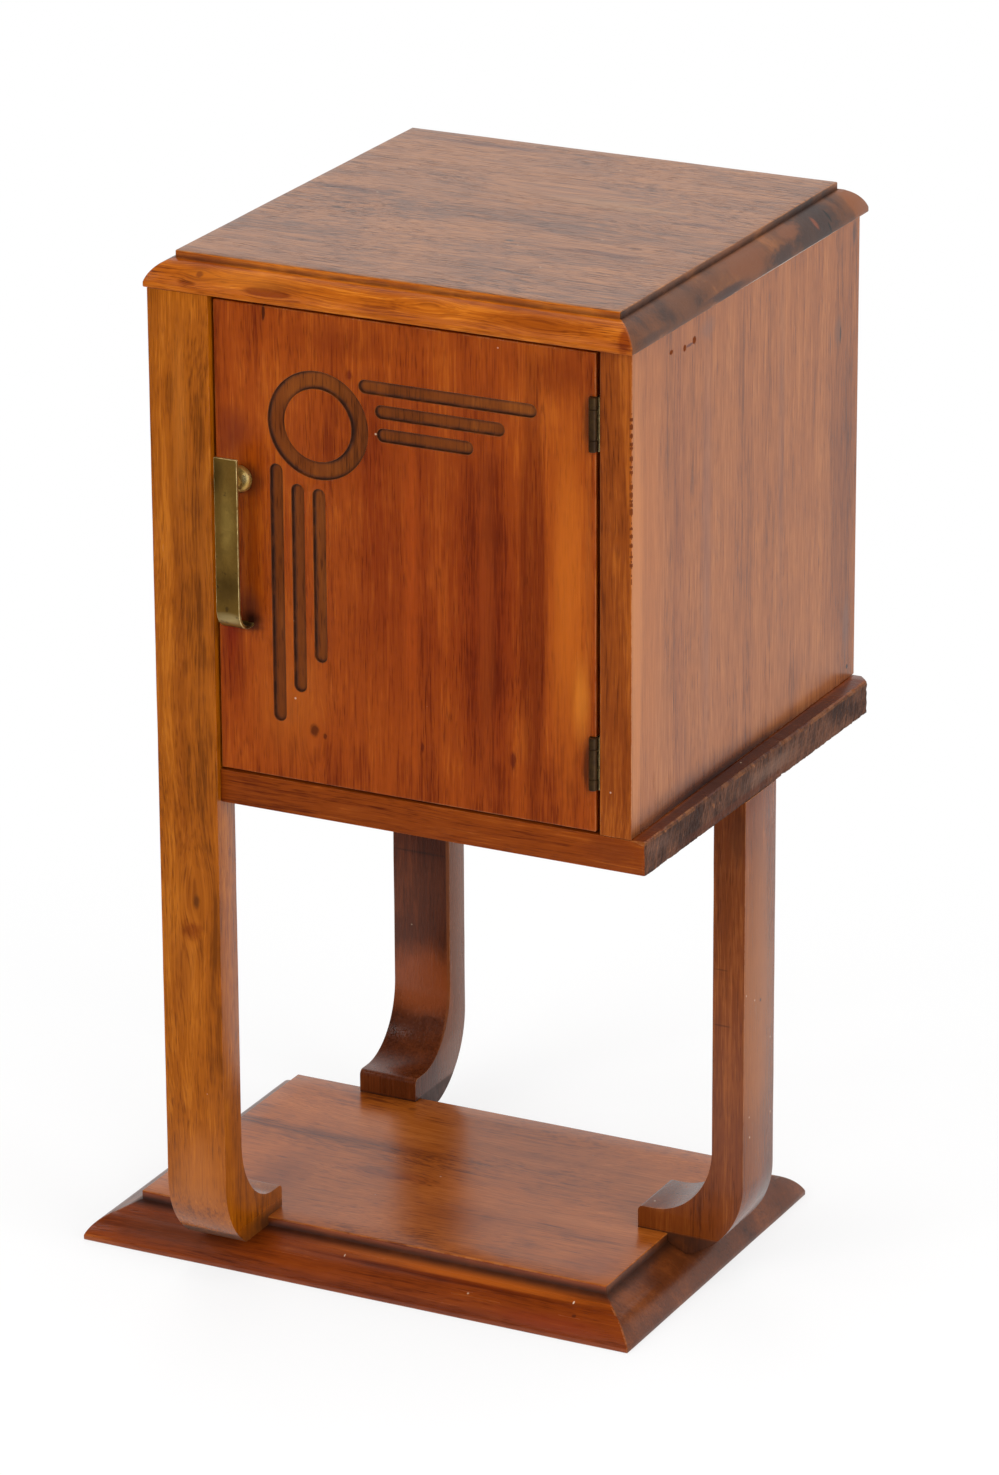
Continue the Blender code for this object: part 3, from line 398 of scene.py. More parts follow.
class BrassAge(Effect):
    """Old brass: olive tarnish, dark spots, fine scratches and bright rubbed edges."""

    title = "brass_age"
    inlets = (Port("Vector", Socket.VECTOR), Port("Tarnish", start=0.7), Port("Mottle", start=1.0))
    outlets = (Port("Dull"), Port("Bright"), Port("Spots"), Port("Height"))
    scratch_scales: Place = (2600.0, 900.0, 90.0)

    def fill(self, g: Graph, given: bpy.types.NodeOutputs) -> dict[str, Wire]:
        """Make the nodes of the tarnish.

        Args:
            g: the graph that they go into.
            given: what comes in by each inlet.

        Returns:
            The dull places, the bright ones, the spots and the height for a bump.
        """
        place = given["Vector"]
        cloud = g.noise(place, 70.0, 5.0, 0.65, 0.4)
        fine = g.noise(place, 420.0, 3.0, 0.6)
        change = g.math("MULTIPLY", g.math("SUBTRACT", cloud, 0.5), 1.6)
        change = g.math("MULTIPLY_ADD", g.math("SUBTRACT", fine, 0.5), 0.5, change)
        dull = g.math("MULTIPLY_ADD", change, given["Mottle"], given["Tarnish"], clamp=True)
        bright = g.math("MULTIPLY", g.step(g.attribute("arris"), 0.3, 0.9), g.step(fine, 0.30, 0.55))
        spots = g.step(g.noise(place, 190.0), 0.66, 0.74)
        scratches = g.stretched(place, self.scratch_scales)
        height = g.math("MULTIPLY_ADD", scratches, 0.4, g.math("MULTIPLY", cloud, 0.6))
        return {"Dull": dull, "Bright": bright, "Spots": spots, "Height": height}


FIGURE, PATCH, WEAR_AND_SHADE = TimberFigure(), SoftPatch(), EdgeWearAndShade()
SPECKS, BRASS = Specks(), BrassAge()


@dataclass(frozen=True)
class Patch:
    """One mark on a surface: its middle and half sizes in millimetres, and what it does there."""

    centre: Place
    size: Place
    colour: Rgb
    strength: float = 0.8
    softness: float = 0.7
    ragged: float = 0.6
    blend: Blend = Blend.COVER


@dataclass(frozen=True)
class Shade(Patch):
    """A mark that darkens what it lies on."""

    blend: Blend = Blend.DARKEN


@dataclass(frozen=True)
class Eye:
    """An eye in the grain, with its middle and half sizes in millimetres."""

    centre: Place
    size: Place
    strength: float = 0.8
    softness: float = 1.0
    ragged: float = 0.2


class Finish:
    """What every finish can do: give its material, made when it is first asked for."""

    name: str

    def spot(self, g: Graph, place: Wire, mark: Patch | Eye) -> Wire:
        """Where one mark lies."""
        spread = {"Ragged": mark.ragged, "Softness": mark.softness, "Strength": mark.strength}
        return g.effect(PATCH, {"Vector": place, "Centre": tuple(Vector(mark.centre) * MM),
                                "Size": tuple(Vector(mark.size) * MM), **spread})["Mask"]

    def mark(self, g: Graph, place: Wire, colour: Feed, patches: Sequence[Patch]) -> Feed:
        """Lay spots and streaks on a colour.

        Args:
            g: the material's graph.
            place: the object's own coordinates.
            colour: what the marks are laid on.
            patches: the marks, the lowest first.

        Returns:
            The colour with its marks.
        """
        for patch in patches:
            colour = g.mix(self.spot(g, place, patch), colour, srgb(patch.colour), patch.blend)
        return colour

    def material(self) -> bpy.types.Material:
        """Make the material when it is first asked for.

        Returns:
            The material, found by its name from then on.
        """
        made = bpy.data.materials.get(self.name)
        if made is not None:
            return made
        material = bpy.data.materials.new(self.name)
        material.use_nodes = True
        g = Graph(material.node_tree)
        shader = material.node_tree.nodes["Principled BSDF"]
        place = g.node("ShaderNodeTexCoord").outputs["Object"]
        for name, value in self.dress(g, place).items():
            g.feed(shader.inputs[name], value)
        return material

    def dress(self, g: Graph, place: Wire) -> dict[str, Feed]:
        """Make the material's nodes, and give what each of the shader's inputs gets."""
        raise NotImplementedError


@dataclass(frozen=True)
class Timber(Finish):
    """One varnished timber surface: its figure, its marks, its gloss and its wear."""

    name: str
    dark: Rgb
    middle: Rgb
    light: Rgb
    grain: Grain = Grain.UP
    seed: float = 0.0
    bands: float = 36.0
    contrast: float = 0.8
    streaks: float = 1.0
    pores: float = 0.5
    wander: float = 0.02
    gloss: float = 0.22
    gloss_change: float = 0.14
    ior: float = 1.44
    rub: float = 0.55
    dirt_and_shade: float = 0.75
    uneven: float = 0.4
    worn: Rgb = (196, 128, 66)
    grime_and_shade: Rgb = (38, 20, 12)
    specks: float = 0.04
    fleck: Rgb = (214, 190, 160)
    fleck_spacing: float = 110.0
    fleck_strength: float = 0.5
    darkened_rough: float = 0.35
    worn_rough: float = 0.15
    relief: float = 0.12
    patches: tuple[Patch, ...] = ()
    eyes: tuple[Eye, ...] = ()

    def dress(self, g: Graph, place: Wire) -> dict[str, Feed]:
        """Make the timber's nodes.

        Args:
            g: the material's graph.
            place: the object's own coordinates.

        Returns:
            What each of the shader's inputs gets.
        """
        flowing = place
        for eye in self.eyes:
            flowing = g.draw_in(self.spot(g, place, eye), flowing, tuple(Vector(eye.centre) * MM))
        figure = g.effect(FIGURE, {
            "Vector": g.turn(flowing, self.grain.value), "Seed": self.seed, "Bands": self.bands,
            "Contrast": self.contrast, "Streaks": self.streaks, "Pores": self.pores, "Wander": self.wander,
            "Dark": srgb(self.dark), "Middle": srgb(self.middle), "Light": srgb(self.light)})
        age = g.effect(WEAR_AND_SHADE, {"Vector": place, "Rub": self.rub, "DirtAndShadeAmount": self.dirt_and_shade, "Uneven": self.uneven})
        flecks = g.effect(SPECKS, {"Vector": place, "Spacing": self.fleck_spacing, "Amount": self.specks})
        colour = self.mark(g, place, figure["Color"], self.patches)
        colour = g.mix(age["Worn"], colour, srgb(self.worn))
        colour = g.mix(age["DirtAndShade"], colour, srgb(self.grime_and_shade))
        colour = g.mix(g.math("MULTIPLY", flecks["Mask"], self.fleck_strength), colour, srgb(self.fleck))
        rough = g.math("SUBTRACT", figure["Gloss"], 0.5)
        rough = g.math("MULTIPLY_ADD", rough, self.gloss_change, self.gloss)
        rough = g.math("MULTIPLY_ADD", age["DirtAndShade"], self.darkened_rough, rough)
        rough = g.math("MULTIPLY_ADD", age["Worn"], self.worn_rough, rough, clamp=True)
        return {"Base Color": colour, "IOR": self.ior, "Roughness": rough,
                "Normal": g.bump(figure["Height"], self.relief * MM)}


BARE = Timber("bare_timber", dark=(88, 40, 14), middle=(108, 50, 16), light=(130, 64, 24),
              gloss=0.8, ior=1.16, rub=0.0, dirt_and_shade=0.0, specks=0.0)


@dataclass(frozen=True)
class SawnEnd(Finish):
    """The rough sawn end of the bottom board, darkened by old soiling, with pale grey painted reflections on it.
    """

    name: str = "sawn_end"
    dark: Rgb = (50, 27, 18)
    light: Rgb = (112, 72, 52)
    fresh: Rgb = (156, 98, 58)
    grime_and_shade: Rgb = (30, 18, 12)
    dullness: float = 0.45
    ior: float = 1.24
    lean: float = math.radians(20)
    kerf_scales: Place = (300.0, 760.0, 60.0)
    relief: float = 0.4
    patches: tuple[Patch, ...] = (
        # Painted reflections: pale grey glints across the kerfs, in the middle and towards the front.
        Patch((228, 20, 377), (10, 70, 9), (140, 108, 92), 0.4, 0.9, 0.9),
        Patch((226, -150, 381), (10, 26, 8), (120, 88, 74), 0.35, 0.9, 0.9),
        Patch((228, -40, 369), (10, 150, 4), (92, 44, 24), 0.6, 0.8, 0.9))

    def dress(self, g: Graph, place: Wire) -> dict[str, Feed]:
        """Make the sawn end's nodes.

        Args:
            g: the material's graph.
            place: the object's own coordinates.

        Returns:
            What each of the shader's inputs gets.
        """
        kerfs = g.stretched(g.turn(place, (self.lean, 0.0, 0.0)), self.kerf_scales, 3.0, 0.7, 0.3)
        blotch = g.noise(place, 28.0, 4.0, 0.6)
        level = g.math("MULTIPLY_ADD", g.math("SUBTRACT", blotch, 0.5), 1.0, kerfs)
        colour = g.mix(g.step(level, 0.34, 0.72), srgb(self.dark), srgb(self.light))
        colour = self.mark(g, place, colour, self.patches)
        chips = g.step(g.noise(place, 120.0, 3.0, 0.6), 0.66, 0.74)
        age = g.effect(WEAR_AND_SHADE, {"Vector": place, "Rub": 0.45, "DirtAndShadeAmount": 0.6, "Uneven": 0.4})
        colour = g.mix(g.math("MULTIPLY", chips, 0.6), colour, srgb(self.fresh))
        colour = g.mix(age["Worn"], colour, srgb(self.fresh))
        colour = g.mix(age["DirtAndShade"], colour, srgb(self.grime_and_shade))
        return {"Base Color": colour, "IOR": self.ior,
                "Roughness": g.math("MULTIPLY_ADD", kerfs, 0.2, self.dullness),
                "Normal": g.bump(kerfs, self.relief * MM)}


@dataclass(frozen=True)
class Brass(Finish):
    """Aged brass, dull on its faces and bright on its rubbed edges."""

    name: str
    base: Rgb = (190, 160, 92)
    dull: Rgb = (140, 108, 44)
    edge: Rgb = (234, 206, 140)
    spot_colour: Rgb = (60, 44, 24)
    tarnish: float = 0.72
    mottle: float = 1.0
    metallic_loss: float = 0.55
    spots: float = 0.6
    gloss: float = 0.22
    dull_rough: float = 0.16
    bright_rough: float = -0.1
    relief: float = 0.05
    patches: tuple[Patch, ...] = ()
    shades_over_edges: tuple[Patch, ...] = ()

    def dress(self, g: Graph, place: Wire) -> dict[str, Feed]:
        """Make the brass's nodes.

        Args:
            g: the material's graph.
            place: the object's own coordinates.

        Returns:
            What each of the shader's inputs gets.
        """
        age = g.effect(BRASS, {"Vector": place, "Tarnish": self.tarnish, "Mottle": self.mottle})
        colour = g.mix(age["Dull"], srgb(self.base), srgb(self.dull))
        colour = self.mark(g, place, colour, self.patches)
        colour = g.mix(g.math("MULTIPLY", age["Spots"], self.spots), colour, srgb(self.spot_colour))
        colour = g.mix(age["Bright"], colour, srgb(self.edge))
        colour = self.mark(g, place, colour, self.shades_over_edges)
        rough = g.math("MULTIPLY_ADD", age["Dull"], self.dull_rough, self.gloss)
        return {"Base Color": colour,
                "Metallic": g.math("MULTIPLY_ADD", age["Dull"], -self.metallic_loss, 1.0),
                "Roughness": g.math("MULTIPLY_ADD", age["Bright"], self.bright_rough, rough),
                "Normal": g.bump(age["Height"], self.relief * MM)}


@dataclass(frozen=True)
class Steel(Finish):
    """Dull steel with turning marks and a little rust."""

    name: str = "old_steel"
    base: Rgb = (176, 172, 166)
    rust: Rgb = (96, 62, 42)
    turning_scales: Place = (900.0, 900.0, 3000.0)
    relief: float = 0.04

    def dress(self, g: Graph, place: Wire) -> dict[str, Feed]:
        """Make the steel's nodes.

        Args:
            g: the material's graph.
            place: the object's own coordinates.

        Returns:
            What each of the shader's inputs gets.
        """
        cloud = g.noise(place, 240.0, 4.0, 0.6)
        marks = g.stretched(place, self.turning_scales)
        rusty = g.step(cloud, 0.52, 0.70)
        return {"Base Color": g.mix(g.math("MULTIPLY", rusty, 0.8), srgb(self.base), srgb(self.rust)),
                "Metallic": g.math("SUBTRACT", 1.0, g.math("MULTIPLY", rusty, 0.7)),
                "Roughness": g.math("MULTIPLY_ADD", cloud, 0.35, 0.2),
                "Normal": g.bump(marks, self.relief * MM)}


@dataclass(frozen=True)
class Moulded(Finish):
    """Brown moulded plastic with a fine grain."""

    name: str = "brown_plastic"
    base: Rgb = (92, 64, 44)
    cloudy: Rgb = (64, 42, 28)
    relief: float = 0.03

    def dress(self, g: Graph, place: Wire) -> dict[str, Feed]:
        """Make the plastic's nodes.

        Args:
            g: the material's graph.
            place: the object's own coordinates.

        Returns:
            What each of the shader's inputs gets.
        """
        cloud = g.noise(place, 120.0, 3.0)
        return {"Base Color": g.mix(g.math("MULTIPLY", cloud, 0.5), srgb(self.base), srgb(self.cloudy)),
                "Roughness": g.math("MULTIPLY_ADD", cloud, 0.2, 0.4),
                "Normal": g.bump(g.noise(place, 1500.0, 3.0, 0.6), self.relief * MM)}


def axis_way(axis: int) -> Vector:
    """A step of one along an axis by its number."""
    return Vector([1.0 if side == axis else 0.0 for side in range(3)])


class Workpiece:
    """One mesh on the bench: its faces carry marks for rubbed arrises, its points marks for darkening, by soiling
    and by painted shade.
    """

    def __init__(self, name: str) -> None:
        """Start an empty mesh.

        Args:
            name: the piece's name in the scene.
        """
        self.name = name
        self.bm = bmesh.new()
        self.ready_marks()

    def ready_marks(self) -> None:
        """Make sure that both kinds of mark are there."""
        for layers, name in ((self.bm.faces.layers.float, "arris"), (self.bm.verts.layers.float, "grime_and_shade")):
            if name not in layers:
                layers.new(name)

    def block(self, low: Vector, high: Vector) -> Self:
        """Add a plain block.

        Args:
            low, high: its lowest and highest corners.

        Returns:
            The workpiece itself.
        """
        verts = bmesh.ops.create_cube(self.bm, size=1.0)["verts"]
        bmesh.ops.scale(self.bm, verts=verts, vec=high - low)
        bmesh.ops.translate(self.bm, verts=verts, vec=(low + high) / 2)
        return self

    def plate(self, outline: Iterable[Vector], sweep: Vector) -> Self:
        """Add a flat outline drawn out to a thickness.

        Args:
            outline: the corners in order.
            sweep: how far and which way the outline is drawn out.

        Returns:
            The workpiece itself.
        """
        face = self.bm.faces.new([self.bm.verts.new(point) for point in outline])
        moved = bmesh.ops.extrude_face_region(self.bm, geom=[face])["geom"]
        verts = [item for item in moved if isinstance(item, bmesh.types.BMVert)]
        bmesh.ops.translate(self.bm, verts=verts, vec=sweep)
        bmesh.ops.recalc_face_normals(self.bm, faces=self.bm.faces)
        return self

    def lathe(self, profile: Profile, place: Vector, way: Vector, steps: int = 48) -> Self:
        """Turn a profile about a line from a place.

        Args:
            profile: points as radius and distance along the line.
            place: where the line starts.
            way: the line's direction.
            steps: pieces in the full turn.

        Returns:
            The workpiece itself.
        """
        before = set(self.bm.verts)
        verts = [self.bm.verts.new((radius, 0.0, distance)) for radius, distance in profile]
        edges = [self.bm.edges.new(pair) for pair in zip(verts, verts[1:])]
        bmesh.ops.spin(self.bm, geom=verts + edges, axis=(0, 0, 1), cent=(0, 0, 0), angle=math.tau,
                       steps=steps, use_merge=True)
        made = [vert for vert in self.bm.verts if vert not in before]
        bmesh.ops.remove_doubles(self.bm, verts=made, dist=MERGE)
        made = [vert for vert in self.bm.verts if vert not in before]
        turn = way.to_track_quat("Z", "Y").to_matrix().to_4x4()
        bmesh.ops.transform(self.bm, matrix=Matrix.Translation(place) @ turn, verts=made)
        bmesh.ops.recalc_face_normals(self.bm, faces=self.bm.faces)
        return self

    def copy_of(self, node: str) -> Self:
        """Start from a merged copy of a CAD node, with its flat faces whole again.

        Args:
            node: the node's name.

        Returns:
            The workpiece itself.
        """
        self.bm.from_mesh(frame["nodes"][node].data)
        self.ready_marks()
        bmesh.ops.remove_doubles(self.bm, verts=self.bm.verts, dist=5 * MERGE)
        bmesh.ops.dissolve_limit(self.bm, angle_limit=math.radians(0.5), verts=self.bm.verts,
                                 edges=self.bm.edges)
        return self

    def darken_points(self, value: float, chosen: Iterable[bmesh.types.BMVert]) -> None:
        """Mark some points to be darkened, for soiling and, at risers, for painted shade.

        Args:
            value: how much, from 0 to 1.
            chosen: the points.
        """
        store = self.bm.verts.layers.float["grime_and_shade"]
        for vert in chosen:
            vert[store] = max(vert[store], value)

    def clean(self, chosen: Iterable[bmesh.types.BMVert]) -> None:
        """Take the darkening off some points.

        Args:
            chosen: the points.
        """
        store = self.bm.verts.layers.float["grime_and_shade"]
        for vert in chosen:
            vert[store] = 0.0

    def soften(self, width: float, segments: int = 2, sharper: float = 30.0,
               which: Test = lambda edge: True) -> None:
        """Round the sharp outer edges and mark them as arrises.

        Args:
            width: how far the rounding reaches on each side.
            segments: pieces across the rounding.
            sharper: only edges that turn by more degrees than this.
            which: a further test on the edge.
        """
        limit = math.radians(sharper)
        edges = [edge for edge in self.bm.edges if edge.is_manifold and edge.is_convex
                 and edge.calc_face_angle(0.0) > limit and which(edge)]
        made = bmesh.ops.bevel(self.bm, geom=edges, offset=width, offset_type="OFFSET", segments=segments,
                               profile=0.5, affect="EDGES", clamp_overlap=True, material=-1)
        store = self.bm.faces.layers.float["arris"]
        for face in made["faces"]:
            face[store] = 1.0

    def cut(self, axis: int, place: float, faces: Sequence[bmesh.types.BMFace] | None = None) -> None:
        """Cut faces by one plane square to an axis.

        Args:
            axis: the axis by its number.
            place: where the plane stands on that axis.
            faces: the faces to cut, or None for all.
        """
        chosen = list(self.bm.faces) if faces is None else list(faces)
        edges = dict.fromkeys(edge for face in chosen for edge in face.edges)
        verts = dict.fromkeys(vert for face in chosen for vert in face.verts)
        bmesh.ops.bisect_plane(self.bm, geom=[*chosen, *edges, *verts], dist=CUT_REACH,
                               plane_co=axis_way(axis) * place, plane_no=axis_way(axis))

    def slice(self, axis: int, pitch: float, within: Callable[[Vector], bool] = lambda middle: True) -> None:
        """Cut faces by even planes square to an axis.

        Args:
            axis: the axis by its number.
            pitch: about how far apart the planes are.
            within: a test on a face's middle.
        """
        def chosen() -> list[bmesh.types.BMFace]:
            """The faces that pass the test."""
            return [face for face in self.bm.faces if within(face.calc_center_median())]
        spots = [vert.co[axis] for face in chosen() for vert in face.verts]
        low, high = min(spots), max(spots)
        count = max(1, round((high - low) / pitch))
        for number in range(1, count):
            self.cut(axis, low + (high - low) * number / count, chosen())

    def waver(self, amount: float, size: float, seed: float) -> None:
        """Move every point a little, so that nothing is dead straight.

        Args:
            amount: the most that a point moves along an axis.
            size: how far apart the waves are.
            seed: a number that tells one piece's waves from another's.
        """
        for vert in self.bm.verts:
            vert.co += noise.noise_vector(vert.co / size + Vector((seed, seed * 2, seed * 3))) * amount

    def subtract(self, tools: Sequence["Workpiece"]) -> None:
        """Cut other shapes out of this one; their faces keep the tools' material numbers.

        Args:
            tools: the shapes, which are used up.
        """
        body = self.to_object()
        helpers = [tool.to_object() for tool in tools]
        for helper in helpers:
            cut = body.modifiers.new(helper.name, "BOOLEAN")
            cut.operation = "DIFFERENCE"
            cut.solver = "EXACT"
            cut.object = helper
        bpy.context.view_layer.update()
        graph = bpy.context.evaluated_depsgraph_get()
        mesh = bpy.data.meshes.new_from_object(body.evaluated_get(graph))
        self.bm = bmesh.new()
        self.bm.from_mesh(mesh)
        bpy.data.meshes.remove(mesh)
        for item in [body, *helpers]:
            old = item.data
            bpy.data.objects.remove(item)
            bpy.data.meshes.remove(old)
        self.ready_marks()

    def to_object(self) -> bpy.types.Object:
        """End the work on the mesh.

        Returns:
            An object with the mesh, at the origin.
        """
        mesh = bpy.data.meshes.new(self.name)
        self.bm.to_mesh(mesh)
        self.bm.free()
        piece = bpy.data.objects.new(self.name, mesh)
        bpy.context.scene.collection.objects.link(piece)
        return piece

    def deliver(self, finishes: Sequence[Finish], nodes: Sequence[str], smooth: float = 40.0,
                flat_above: float = math.inf) -> None:
        """Dress the piece, put it in the place of its CAD nodes and let it ride with them.

        Args:
            finishes: one finish for each material number on the faces.
            nodes: the CAD nodes that the piece stands for.
            smooth: faces that meet at more degrees than this stay sharp.
            flat_above: faces of more square metres than this are shaded flat.
        """
        faces = len(self.bm.faces)
        piece = self.to_object()
        for finish in finishes:
            piece.data.materials.append(finish.material())
        piece.data.shade_smooth()
        piece.data.set_sharp_from_angle(angle=math.radians(smooth))
        for polygon in piece.data.polygons:
            polygon.use_smooth = polygon.area < flat_above
        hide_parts(*nodes)
        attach(piece, body_of(nodes[0]))
        log.info("%s: %d faces, in place of %s", piece.name, faces, ", ".join(nodes))


def body_of(node: str) -> str:
    """The moving body that a CAD node belongs to."""
    return next(body for body, members in BODIES.items() if node in members)


def arc(centre: tuple[float, float], width: float, height: float, first: float, last: float,
        steps: int = 24) -> Profile:
    """Points on part of an ellipse, between two angles in degrees."""
    angles = [math.radians(first + (last - first) * step / steps) for step in range(steps + 1)]
    return [(centre[0] + width * math.cos(a), centre[1] + height * math.sin(a)) for a in angles]


def bulge(start: tuple[float, float], end: tuple[float, float], rise: float, steps: int = 14) -> Profile:
    """Draw a round arc that bulges to the left of the line between two places.

    Args:
        start, end: the two places.
        rise: how far the arc stands off the line at its middle.
        steps: pieces along the arc.

    Returns:
        The points of the arc.
    """
    first, last = Vector(start), Vector(end)
    chord = last - first
    radius = (chord.length_squared / 4 + rise * rise) / (2 * rise)
    left = Vector((-chord.y, chord.x)).normalized()
    middle = (first + last) / 2 + left * (rise - radius)
    begin = math.atan2(first.y - middle.y, first.x - middle.x)
    finish = math.atan2(last.y - middle.y, last.x - middle.x)
    turn = (finish - begin + math.pi) % math.tau - math.pi
    return [(middle.x + radius * math.cos(begin + turn * step / steps),
             middle.y + radius * math.sin(begin + turn * step / steps)) for step in range(steps + 1)]


@dataclass
class MouldedBoard:
    """A board whose four edges are worked to one moulding, round a flat field."""

    node: str
    profile: Profile
    riser_ring: int
    seed: float
    field_finish: Timber
    edge_finish: Timber
    end_finish: Timber
    slice_pitch: float = 24 * MM
    rounding: float = 0.9 * MM
    waver: float = 0.16 * MM
    waver_size: float = 45 * MM
    edge_dirt_and_shade: float = 0.2
    mitre_reach: float = 0.1 * MM

    def build(self) -> None:
        """Work the board: a thin block, then one ring of faces for each step of the moulding."""
        low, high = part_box(self.node)
        work = Workpiece(self.node + "_dressed")
        work.block(low, Vector((high.x, high.y, low.z + self.profile[0][1])))
        bm = work.bm
        top = max(bm.faces, key=lambda face: face.calc_center_median().z)
        reached = 0.0
        for number, (inset, height) in enumerate(self.profile[1:], 1):
            step, rise = inset - reached, height - self.profile[number - 1][1]
            if step < 0.01 * MM:
                grown = bmesh.ops.extrude_face_region(bm, geom=[top])["geom"]
                verts = [item for item in grown if isinstance(item, bmesh.types.BMVert)]
                bmesh.ops.delete(bm, geom=[top], context="FACES_ONLY")
                bmesh.ops.translate(bm, verts=verts, vec=(0, 0, rise))
                work.clean(verts)
                top = next(item for item in grown if isinstance(item, bmesh.types.BMFace))
            else:
                bmesh.ops.inset_region(bm, faces=[top], thickness=step, depth=rise, use_even_offset=True)
            reached = inset
            # At the riser's foot the points are darkened fully, and the ring before it a little: painted shade of
            # the step, with some soiling.
            if number == self.riser_ring:
                work.darken_points(1.0, top.verts)
            elif number == self.riser_ring - 1:
                work.darken_points(self.edge_dirt_and_shade, top.verts)
        self.paint_faces(bm, low, high, reached)
        work.soften(self.rounding, 3, 35.0)
        self.settle_mitres(bm, low, high)
        work.slice(0, self.slice_pitch)
        work.slice(1, self.slice_pitch)
        work.waver(self.waver, self.waver_size, self.seed)
        work.deliver((self.field_finish, self.edge_finish, self.end_finish), (self.node,))

    def paint_faces(self, bm: bmesh.types.BMesh, low: Vector, high: Vector, inset: float) -> None:
        """Give the field, the long edges and the ends their own material numbers.

        Args:
            bm: the board's mesh.
            low, high: the board's lowest and highest corners.
            inset: how far the field lies from the edges.
        """
        for face in bm.faces:
            middle = face.calc_center_median()
            sides = (middle.x - low.x, high.x - middle.x, middle.y - low.y, high.y - middle.y)
            nearest = min(sides)
            if face.normal.z > 0.99 and nearest > inset:
                face.material_index = 0
            else:
                face.material_index = 2 if nearest in sides[:2] and face.normal.z > -0.9 else 1

    def settle_mitres(self, bm: bmesh.types.BMesh, low: Vector, high: Vector) -> None:
        """Give upright faces on a mitre to the ends, because the rounding gives them to either side.

        Args:
            bm: the board's mesh.
            low, high: the board's lowest and highest corners.
        """
        for face in bm.faces:
            middle = face.calc_center_median()
            from_end = min(middle.x - low.x, high.x - middle.x)
            from_edge = min(middle.y - low.y, high.y - middle.y)
            if abs(face.normal.z) < 0.1 and abs(from_end - from_edge) < self.mitre_reach:
                face.material_index = 2


